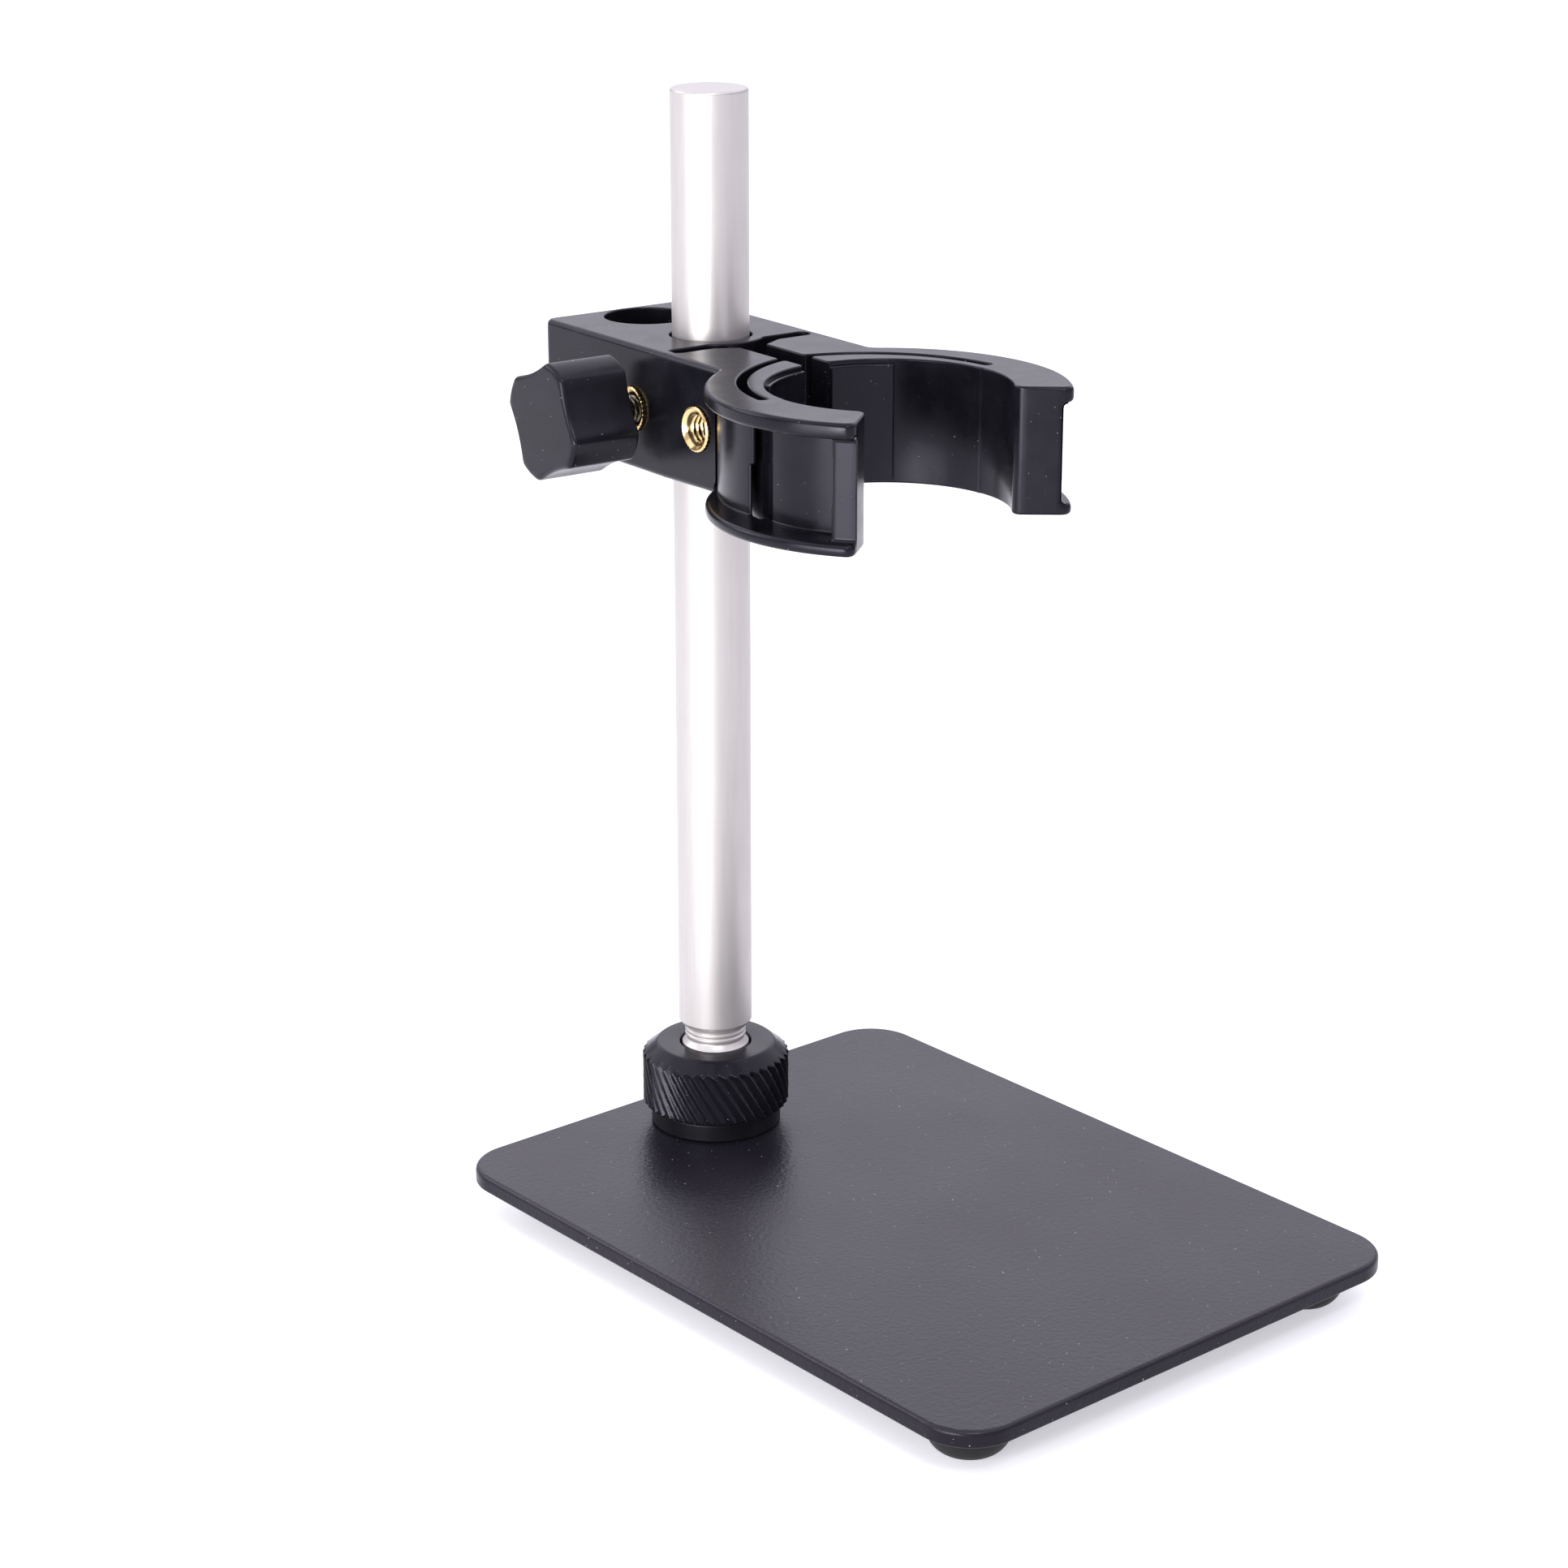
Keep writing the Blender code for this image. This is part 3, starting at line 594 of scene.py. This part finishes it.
def build_boss():
    """The boss between plate and nut, and its countersunk hex socket screw."""
    low, high = (Vector(corner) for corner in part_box("pole_boss"))
    flange = (high.x - low.x) / 2
    flange_top = 4.2 * MM
    spigot = 10.0 * MM
    bottom = low.z - plate_top
    top = high.z - plate_top
    profile = filleted([(SCREW_HOLE_RADIUS, bottom, 0.0), (flange, bottom, 0.2 * MM),
                        (flange, flange_top, 0.4 * MM), (spigot, flange_top, 0.1 * MM),
                        (spigot, top, 0.8 * MM), (SCREW_HOLE_RADIUS, top, 0.3 * MM)])
    boss = plain_object("boss", turned(profile), POLE)
    finish_piece(boss, boss_metal, "base", ["pole_boss"])

    low, high = (Vector(corner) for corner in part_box("boss_screw"))
    head = (high.x - low.x) / 2
    shank = 3.0 * MM
    socket = 2.2 * MM
    length = high.z - low.z
    profile = filleted([(0.0, 0.0, 0.0), (head, 0.0, 0.15 * MM), (shank, head - shank, 0.3 * MM),
                        (shank, length, 0.5 * MM), (0.0, length, 0.0)])
    place = Matrix.Translation((pole_axis.x, pole_axis.y, low.z))
    screw = plain_object("flat_head_screw", turned(profile, 64), place)
    carve(screw, prism(circle((0.0, 0.0), socket, 6), -MM, socket))
    finish_piece(screw, screw_steel, "base", ["boss_screw"])


# ---- pole and collar nut -----------------------------------------------------------------

def build_pole():
    """The pole, with its rounded end above and the turned neck and flare below."""
    foot_low = pole_low.z - plate_top
    top = pole_high.z - plate_top
    foot = 9.8 * MM
    foot_high = foot_low + 2.3 * MM
    flare = 7.3 * MM
    neck = 6.35 * MM
    ridge = 6.65 * MM
    body = 8.0 * MM
    profile = [(0.0, foot_low, 0.0), (foot, foot_low, 0.2 * MM), (foot, foot_high, 0.2 * MM),
               (flare, foot_high, 0.1 * MM), (flare, 18.6 * MM, 0.15 * MM),
               (6.9 * MM, 19.0 * MM, 0.2 * MM), (neck, 19.7 * MM, 0.2 * MM)]
    for start in (20.1 * MM, 21.25 * MM):
        profile += [(neck, start, 0.1 * MM), (ridge, start + 0.25 * MM, 0.15 * MM),
                    (ridge, start + 0.75 * MM, 0.15 * MM), (neck, start + 1.0 * MM, 0.1 * MM)]
    profile += [(6.5 * MM, 22.5 * MM, 0.1 * MM), (7.15 * MM, 23.0 * MM, 0.15 * MM),
                (7.2 * MM, 23.3 * MM, 0.1 * MM), (body, 24.1 * MM, 0.3 * MM),
                (body, top, 0.8 * MM), (0.0, top, 0.0)]
    pole = plain_object("pole_rod", turned(filleted(profile), 128), POLE)
    finish_piece(pole, pole_aluminium, "pole", ["pole"], 50.0)


def build_nut():
    """The collar nut: slanted knurl, cone above it and a plain shouldered bore."""
    low, high = (Vector(corner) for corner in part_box("collar_nut"))
    outer = (high.x - low.x) / 2
    bottom = low.z - plate_top
    top = high.z - plate_top
    teeth = 40
    depth = 0.95 * MM
    slant = math.tan(math.radians(32.0)) / outer
    chamfer = 0.9 * MM
    knurl_low = bottom + 0.2 * MM
    cone_low = 16.0 * MM
    top_radius = 12.7 * MM
    bore = 10.3 * MM
    shoulder = 16.0 * MM
    hole = 7.75 * MM
    hole_chamfer = 0.35 * MM

    def cone_radius(height):
        """Outer limit set by the cone above and the small chamfer below the knurl."""
        above = top_radius + (outer - top_radius) * (top - height) / (top - cone_low)
        below = outer - chamfer + (height - bottom) * 1.3
        return min(above, below, outer)

    def ridge(height):
        """One ring through the ridges, which run down to the right seen from outside."""
        def at(angle):
            phase = (teeth * (angle + slant * height) / math.tau) % 1.0
            crest = 1.0 - abs(2.0 * phase - 1.0)
            shaped = crest ** 0.8
            return min(outer - depth * (1.0 - shaped), cone_radius(height)), height
        return at

    rings = [even(bore, bottom), even(outer - 1.2 * MM, bottom)]
    heights = [knurl_low + (cone_low - 0.6 * MM - knurl_low) * k / 22 for k in range(23)]
    heights += [cone_low + 0.1 * MM * k for k in (-4, -2, 0, 1, 2, 3, 4, 5, 6, 8)]
    rings += [ridge(height) for height in heights]
    rings += [even(cone_radius(height), height) for height in (17.4 * MM, 18.2 * MM)]
    rings += [even(top_radius + 0.25 * MM, top - 0.2 * MM),
              even(top_radius - 0.1 * MM, top - 0.03 * MM), even(top_radius - 0.5 * MM, top),
              even(hole + hole_chamfer, top), even(hole, top - hole_chamfer),
              even(hole, shoulder), even(bore, shoulder)]
    nut = plain_object("knurled_nut", wave_turned(rings, 400), POLE)
    finish_piece(nut, nut_plastic, "collar", ["collar_nut"], 50.0)


# ---- holder ------------------------------------------------------------------------------

def plan(u, v):
    """Holder plan position as local x and y."""
    return (-u, v)


def on_ring(radius, angle):
    """A point of the right jaw, angle degrees round the clip from the pole's side."""
    turn = math.radians(angle)
    return (radius * math.sin(turn), RING_V - radius * math.cos(turn))


def ring_arc(radius, start, end):
    """Points on the clip's ring at one radius."""
    count = max(2, round(abs(end - start) / ARC_STEP))
    return [on_ring(radius, start + (end - start) * i / count) for i in range(count + 1)]


def slot_side(end_radius, start, end):
    """Points along a side of the slot behind the spring finger, which swells to the channel."""
    count = round(abs(end - start) / ARC_STEP)
    points = []
    for i in range(count + 1):
        angle = start + (end - start) * i / count
        reach = max(0.0, 1.0 - angle / SLOT_FAR_END)
        points.append(on_ring(end_radius + SLOT_SWELL * reach ** 1.6, angle))
    return points


def angle_at(half, radius):
    """Angle round the clip at which a radius stands half to the side of the middle."""
    return math.degrees(math.asin(half / radius))


def tip_end(tip_angle):
    """Points along the end of the tip, which bows out by a tenth of a millimetre."""
    middle = (RING_INNER + RING_OUTER) / 2
    points = []
    for i in range(1, 8):
        radius = RING_INNER + (RING_OUTER - RING_INNER) * i / 8
        bow = 0.1 * MM * (1.0 - ((radius - middle) / (RING_OUTER - middle)) ** 2)
        points.append(on_ring(radius, tip_angle + math.degrees(bow / radius)))
    return points[1:-1]


def plain(points):
    """Points with no rounding, for filleted."""
    return [(u, v, 0.0) for u, v in points]


def block_outline():
    """Plan of the block behind the slit, with the bore's wall bulging into the slit."""
    slit_radius = (SLIT_FRONT - SLIT_REAR) / 2
    slit_centre_u = SLIT_END - slit_radius
    split = HINGE_V - HINGE_GAP / 2
    bulge = math.degrees(math.asin(SLIT_REAR / BORE_WALL_RADIUS))
    corner_u = BLOCK_HALF - BLOCK_CORNER
    corner_v = BLOCK_BACK + BLOCK_CORNER
    right = [(BLOCK_HALF, split)] + arc((slit_centre_u, HINGE_V), slit_radius, 0.0, -90.0, 15.0)
    points = arc((corner_u, corner_v), BLOCK_CORNER, -90.0, 0.0, 15.0) + right
    points += arc((0.0, 0.0), BORE_WALL_RADIUS, bulge, 180.0 - bulge, 4.0)
    points += [(-u, v) for u, v in reversed(right)]
    points += arc((-corner_u, corner_v), BLOCK_CORNER, 180.0, 270.0, 15.0)
    return [plan(u, v) for u, v in points]


def jaw_outline(tip_angle):
    """Plan of a right-hand jaw: root, slot, spring finger and ring, in one closed line."""
    slit_radius = (SLIT_FRONT - SLIT_REAR) / 2
    slit_centre_u = SLIT_END - slit_radius
    split = HINGE_V + HINGE_GAP / 2
    points = plain([(BLOCK_HALF, split)])
    points += plain(arc((slit_centre_u, HINGE_V), slit_radius, 0.0, 90.0, 15.0))
    points += [(ROOT_CHAMFER_U, SLIT_FRONT, 0.6 * MM), (CHANNEL_HALF, ROOT_CHAMFER_V, 0.8 * MM)]
    near = angle_at(CHANNEL_HALF, SLOT_OUTER_END + SLOT_SWELL)
    first, *rest = slot_side(SLOT_OUTER_END, near, SLOT_FAR_END - 3.0)
    points += [(*first, 0.8 * MM)] + plain(rest[1:])
    points += [(*on_ring(end_radius + SLOT_END_SHIFT, SLOT_FAR_END), 0.7 * MM)
               for end_radius in (SLOT_OUTER_END, SLOT_INNER_END)]
    near = angle_at(FINGER_END_HALF, SLOT_INNER_END + SLOT_SWELL)
    *rest, last = slot_side(SLOT_INNER_END, SLOT_FAR_END - 3.0, near)
    points += plain(rest[:-1]) + [(*last, 0.9 * MM)]
    start = angle_at(FINGER_END_HALF, RING_INNER)
    inner = ring_arc(RING_INNER, start, FINGER_FACE_END)
    points += [(*inner[0], 0.9 * MM)] + plain(inner[2:])
    beyond = RING_INNER + FINGER_FACE_STEP
    points += plain(ring_arc(beyond, FINGER_FACE_END + 0.4, tip_angle - 8.0))
    points += [(*on_ring(beyond, tip_angle), 1.9 * MM)]
    points += plain(tip_end(tip_angle))
    points += [(*on_ring(RING_OUTER, tip_angle), 1.8 * MM)]
    corner = angle_at(BLOCK_HALF, RING_OUTER)
    points += plain(ring_arc(RING_OUTER, tip_angle - 5.0, corner))
    return filleted(points, closed=True)


def boss_wall_radius(angle):
    """The wall beside the root draws inward by 0.137 mm for each degree round the clip."""
    return (34.4 - 0.137 * (angle - 39.0)) * MM


def recess_outline(tip_angle):
    """Plan of what is hollowed out between the flanges, outside a right-hand jaw's wall."""
    beyond = RING_OUTER + 6.0 * MM
    count = 24
    points = [on_ring(beyond, ROOT_WALL_START - 4.0)]
    for i in range(count + 1):
        angle = ROOT_WALL_START + (BOSS_WALL_STEP - ROOT_WALL_START) * i / count
        points.append(on_ring(boss_wall_radius(angle), angle))
    points += ring_arc(WINDOW_RADIUS, BOSS_WALL_STEP, PANEL_START)
    points += ring_arc(PANEL_RADIUS, PANEL_START, RIB_START)
    points += ring_arc(RIB_RADIUS, RIB_START, tip_angle + 4.0)
    points += ring_arc(beyond, tip_angle + 4.0, ROOT_WALL_START)
    return points


def sided(outline, side):
    """A right-hand outline in local x and y, or its mirror image for the left jaw."""
    if side == "right":
        return [plan(u, v) for u, v in outline]
    return [plan(-u, v) for u, v in reversed(outline)]


def pad_outline(side):
    """Plan of the pad that stands inward on a spring finger."""
    end = PAD_END[side]
    inside = ring_arc(PAD_RADIUS, PAD_START, end)
    return inside + ring_arc(RING_INNER + 0.5 * MM, end, PAD_START)


def holder_edge(start, end):
    """Bevel width of a holder edge, from where it lies in the holder's frame."""
    middle = (start + end) / 2
    u, v, z = abs(middle.x), middle.y, middle.z
    ring = math.hypot(u, v - RING_V)
    at_hinge = abs(v - HINGE_V) < 0.3 * MM and u > SLIT_END - 0.3 * MM
    across_axis = min(abs(v - hole) for hole in (0.0, REAR_BORE_V, JAW_INSERT_V))
    from_screw = math.hypot(across_axis, z + screw_drop)
    at_insert = from_screw < INSERT_RADIUS + 0.2 * MM and u > 3.2 * MM
    by_window = 24.5 * MM < ring < 28.2 * MM and v > RING_V - 8.0 * MM
    in_window = by_window and -20.0 * MM < z < -FLANGE_ZONE
    on_side = u > BLOCK_HALF - 0.1 * MM and v < RING_V - RING_OUTER
    down_side = on_side and -BLOCK_HEIGHT + FLANGE_ZONE < z < -FLANGE_ZONE
    if at_hinge or at_insert or in_window or down_side:
        return 0.0
    by_tip = v > RING_V + 14.0 * MM or ring > RIB_RADIUS + 0.5 * MM
    if v > ROOT_CHAMFER_V + 8.0 * MM and ring > TIP_EDGE_START and by_tip:
        grown = min(1.0, (ring - TIP_EDGE_START) / TIP_EDGE_REACH)
        return PLAIN_EDGE + TIP_EDGE_MORE * grown
    at_back = v < BLOCK_BACK + BLOCK_CORNER + 0.1 * MM
    if on_side or (at_back and math.hypot(u, v - REAR_BORE_V) > REAR_BORE_RADIUS + MM):
        return SIDE_EDGE
    return PLAIN_EDGE


def across(v):
    """Frame of a round piece that lies across the holder: its Z runs along +u."""
    return (HOLDER @ Matrix.Translation(plan(0.0, v) + (-screw_drop,))
            @ Matrix.Rotation(math.radians(-90.0), 4, "Y"))


def bore_across(v, start_u, end_u, radius):
    """Cutter for a round hole across the holder, in the holder's frame."""
    builder = prism(circle((0.0, 0.0), radius, 64), start_u, end_u)
    builder.transform(HOLDER.inverted() @ across(v))
    return builder


def insert_holes(item, v, inner_u):
    """Pocket and clearance hole for a threaded insert."""
    pocket_end = -BLOCK_HALF - INSERT_PROUD + INSERT_LENGTH + 0.1 * MM
    carve(item, bore_across(v, -BLOCK_HALF - MM, pocket_end, INSERT_RADIUS + 0.05 * MM))
    carve(item, bore_across(v, -BLOCK_HALF, inner_u, INSERT_HOLE_RADIUS))


def build_block():
    """The block with the pole's bore, the spare bore and its two insert holes."""
    block = plain_object("block", prism(block_outline(), -BLOCK_HEIGHT, 0.0), HOLDER)
    for v, radius in ((0.0, BORE_RADIUS), (REAR_BORE_V, REAR_BORE_RADIUS)):
        carve(block, prism(circle(plan(0.0, v), radius), -BLOCK_HEIGHT - MM, MM))
    for v in (0.0, REAR_BORE_V):
        insert_holes(block, v, -5.0 * MM)
    weigh_edges(block, holder_edge)
    round_edges(block)
    finish_piece(block, holder_plastic, "holder", ["holder_block"])


def lower_root(item):
    """Slope the jaw's underside down to the block's at the hinge."""
    for vertex in item.data.vertices:
        if vertex.co.z < -JAW_HEIGHT / 2:
            near = min(1.0, max(0.0, (RING_V - RING_OUTER - vertex.co.y) / HINGE_SLOPE))
            vertex.co.z -= (BLOCK_HEIGHT - JAW_HEIGHT) * near


def build_jaw(side):
    """One jaw: flanged ring, boss wall, recessed panel, end rib and spring finger with pad."""
    low = -JAW_HEIGHT
    tip_angle = TIP_ANGLE[side]
    jaw = plain_object(f"clip_{side}", prism(sided(jaw_outline(tip_angle), side), low, 0.0),
                       HOLDER)
    carve(jaw, prism(sided(recess_outline(tip_angle), side), low + BOTTOM_FLANGE, -TOP_FLANGE))
    step = [on_ring(WINDOW_RADIUS, BOSS_WALL_END), on_ring(RING_OUTER, BOSS_WALL_END),
            on_ring(RING_OUTER, BOSS_WALL_STEP + 1.0), on_ring(WINDOW_RADIUS, BOSS_WALL_STEP + 1.0)]
    carve(jaw, prism(sided(step, side), low + BOTTOM_FLANGE, -BLOCK_HEIGHT / 2))
    if side == "left":
        insert_holes(jaw, JAW_INSERT_V, 0.0)
    weigh_edges(jaw, holder_edge)
    round_edges(jaw)
    split_ngons(jaw)
    pad = plain_object("pad", prism(sided(pad_outline(side), side), low + PAD_BELOW, -PAD_ABOVE),
                       HOLDER)
    weigh_edges(pad, lambda start, end: PAD_EDGE)
    round_edges(pad)
    builder = bmesh.new()
    builder.from_mesh(pad.data)
    bpy.data.objects.remove(pad, do_unlink=True)
    carve(jaw, builder, "UNION")
    lower_root(jaw)
    finish_piece(jaw, holder_plastic, f"{side}_jaw", [f"jaw_{side}"])


# ---- inserts, stud and knob --------------------------------------------------------------

def thread_ring(height, root, depth):
    """A ring through a right-hand thread: the radius at each angle follows the helix."""
    def at(angle):
        phase = (height / THREAD_PITCH - angle / math.tau) % 1.0
        return root + depth * (1.0 - abs(2.0 * phase - 1.0)), height
    return at


def build_insert(node, v, body, root, depth):
    """A brass insert: knurled body, turned front ring, countersink and inner thread."""
    outer = -BLOCK_HALF - INSERT_PROUD
    inner = outer + INSERT_LENGTH
    teeth = 30
    tooth_depth = 0.22 * MM
    mouth = 4.2 * MM
    thread_low = outer + 1.1 * MM
    thread_high = inner - 0.2 * MM

    def knurled(height, fade):
        """One ring through the teeth, at a share of their full depth."""
        def at(angle):
            phase = (teeth * angle / math.tau) % 1.0
            return INSERT_RADIUS - tooth_depth * fade * (1.0 - abs(2.0 * phase - 1.0)), height
        return at

    rings = [even(INSERT_RADIUS - 0.3 * MM, inner), knurled(inner - 0.3 * MM, 1.0),
             knurled(outer + 0.45 * MM, 1.0), knurled(outer + 0.3 * MM, 0.6),
             even(INSERT_RADIUS - 0.35 * MM, outer + 0.2 * MM),
             even(INSERT_RADIUS - 0.4 * MM, outer + 0.05 * MM),
             even(INSERT_RADIUS - 0.5 * MM, outer), even(mouth, outer),
             even(mouth - 0.1 * MM, outer + 0.05 * MM)]
    count = 52
    for k in range(count + 1):
        height = thread_low + (thread_high - thread_low) * k / count
        rings.append(thread_ring(height, root, depth))
    rings.append(even(INSERT_HOLE_RADIUS, inner))
    insert = plain_object(f"{node}_thread", wave_turned(rings, 120), across(v))
    finish_piece(insert, insert_brass, body, [node], 50.0, weighted=False)


def build_stud():
    """The clamp screw's stud, threaded up to the knob."""
    core = 0.2 * MM
    shank = 2.7 * MM
    root = 2.42 * MM
    depth = 0.56 * MM
    thread_start = STUD_TIP - 0.4 * MM
    rings = [even(core, STUD_TIP), even(2.3 * MM, STUD_TIP), even(2.5 * MM, STUD_TIP - 0.2 * MM)]
    count = 110
    for k in range(count + 1):
        height = thread_start + (STUD_THREAD_END - thread_start) * k / count
        rings.append(thread_ring(height, root, depth))
    rings += [even(shank, STUD_THREAD_END - 0.2 * MM), even(shank, STUD_END),
              even(core, STUD_END)]
    stud = plain_object("threaded_stud", wave_turned(rings, 64), across(0.0))
    finish_piece(stud, stud_steel, "clamp_screw", ["screw_stud"], 50.0,
                 weighted=False)


def knob_outline():
    """Four round-cornered lobes joined by hollow flutes."""
    radius = 12.6 * MM
    flute_radius = 10.2 * MM
    lobe_half = 15.0
    first_lobe = 23.0
    half = math.radians(45.0 - lobe_half)
    chord_half = radius * math.sin(half)
    depth = radius * math.cos(half) - flute_radius
    flute = (chord_half ** 2 + depth ** 2) / (2.0 * depth)
    sweep = math.degrees(math.asin(chord_half / flute))
    points = []
    for lobe in range(4):
        middle = first_lobe + lobe * 90.0
        points += arc((0.0, 0.0), radius, middle - lobe_half, middle + lobe_half, 1.5)
        away = math.radians(middle + 45.0)
        centre = ((flute_radius + flute) * math.cos(away), (flute_radius + flute) * math.sin(away))
        back = middle + 45.0 + 180.0
        points += arc(centre, flute, back + sweep, back - sweep, 1.2)[1:-1]
    smoothings = 4
    for _ in range(smoothings):
        points = [((a[0] + 2 * b[0] + c[0]) / 4, (a[1] + 2 * b[1] + c[1]) / 4)
                  for a, b, c in zip(points[-1:] + points[:-1], points, points[1:] + points[:1])]
    return points


def inset(outline, amount):
    """A smooth anticlockwise outline moved inward along its normals."""
    result = []
    for before, point, after in zip(outline[-1:] + outline[:-1], outline,
                                    outline[1:] + outline[:1]):
        along = (Vector(after) - Vector(before)).normalized()
        result.append((point[0] - along.y * amount, point[1] + along.x * amount))
    return result


def build_knob():
    """The four-lobed knob, with rounded rims and a socket for the stud."""
    outline = knob_outline()
    socket_radius = 3.2 * MM
    socket_end = -35.0 * MM
    sections = []
    for rim, at, sign in ((1.0 * MM, KNOB_OUTER, 1.0), (0.6 * MM, KNOB_INNER, -1.0)):
        rings = []
        for angle in quarter_turn(4):
            ring = inset(outline, rim * (1.0 - math.sin(angle)))
            height = at + sign * rim * (1.0 - math.cos(angle))
            rings.append([(x, y, height) for x, y in ring])
        sections += rings if sign > 0 else rings[::-1]
    knob = plain_object("lobed_knob", lofted(sections), across(0.0))
    carve(knob, prism(circle((0.0, 0.0), socket_radius, 64), socket_end, KNOB_INNER + MM))
    finish_piece(knob, knob_plastic, "clamp_screw", ["clamp_knob"])


# ---- build -------------------------------------------------------------------------------

build_plate()
build_feet()
build_boss()
build_pole()
build_nut()
build_block()
build_jaw("left")
build_jaw("right")
build_insert("pole_insert", 0.0, "holder", *STUD_CLEARING_THREAD)
build_insert("rear_insert", REAR_BORE_V, "holder", *EMPTY_THREAD)
build_insert("jaw_insert", JAW_INSERT_V, "left_jaw", *EMPTY_THREAD)
build_stud()
build_knob()
for node, material in (("slip_washer", washer_nylon), ("pressure_pad", pad_nylon)):
    frame["nodes"][node].data.materials.clear()
    frame["nodes"][node].data.materials.append(material)


# ---- floor, light and camera -------------------------------------------------------------

def build_stage():
    """A pale glowing floor, a pale world, a wide sky and five soft boxes."""
    floor = plain_object("floor", prism(circle((0.0, 0.0), 12.0), -0.02, 0.0), Matrix())
    material, _, shader = new_material("floor_paint", (0.60, 0.60, 0.60), 0.9)
    shader.inputs["Emission Color"].default_value = (0.95, 0.94, 1.0, 1.0)
    shader.inputs["Emission Strength"].default_value = 0.50
    floor.data.materials.append(material)

    world = bpy.data.worlds.new("studio")
    world.use_nodes = True
    background = world.node_tree.nodes["Background"]
    background.inputs["Color"].default_value = (0.89, 0.86, 1.02, 1.0)
    background.inputs["Strength"].default_value = 0.72
    bpy.context.scene.world = world

    sky = bpy.data.lights.new("sky", "SUN")
    sky.energy = 2.5
    sky.color = (0.96, 0.94, 1.0)
    sky.angle = math.radians(120.0)
    item = bpy.data.objects.new("sky", sky)
    item.rotation_euler = (math.radians(-12.0), math.radians(8.0), 0.0)
    bpy.context.scene.collection.objects.link(item)

    target = Vector((0.0, 0.0, 0.1))
    for name, place, size, power in (("back_panel", (1.15, 1.15, 0.75), (1.3, 0.8), 1.0),
                                     ("left_box", (-0.75, -0.14, 0.20), (0.5, 0.38), 5.0),
                                     ("left_back_box", (-0.8, 1.1, 0.8), (0.6, 0.6), 4.0),
                                     ("left_front_box", (-0.85, -0.42, 0.12), (0.4, 0.2), 3.5),
                                     ("high_box", (-0.55, -0.9, 1.2), (0.25, 0.25), 5.0)):
        lamp = bpy.data.lights.new(name, "AREA")
        lamp.shape = "RECTANGLE"
        lamp.size, lamp.size_y = size
        lamp.energy = power
        item = bpy.data.objects.new(name, lamp)
        item.location = place
        item.rotation_euler = (target - Vector(place)).to_track_quat("-Z", "Y").to_euler()
        bpy.context.scene.collection.objects.link(item)


def build_camera():
    """The camera in front and to the left of the stand, looking slightly down."""
    azimuth = math.radians(-40.37)
    elevation = math.radians(18.75)
    back = Vector((math.sin(azimuth) * math.cos(elevation),
                   -math.cos(azimuth) * math.cos(elevation), math.sin(elevation)))
    lens = bpy.data.cameras.new("camera")
    lens.lens = 79.9
    lens.sensor_width = 36.0
    camera = bpy.data.objects.new("camera", lens)
    middle = (plate_low + plate_high) / 2
    offset = Vector((-449.96, -486.91, 317.96)) * MM
    camera.location = Vector((middle.x, middle.y, plate_top)) + offset
    camera.rotation_euler = back.to_track_quat("Z", "Y").to_euler()
    bpy.context.scene.collection.objects.link(camera)
    bpy.context.scene.camera = camera


build_stage()
build_camera()
bpy.context.scene.view_settings.view_transform = "Standard"
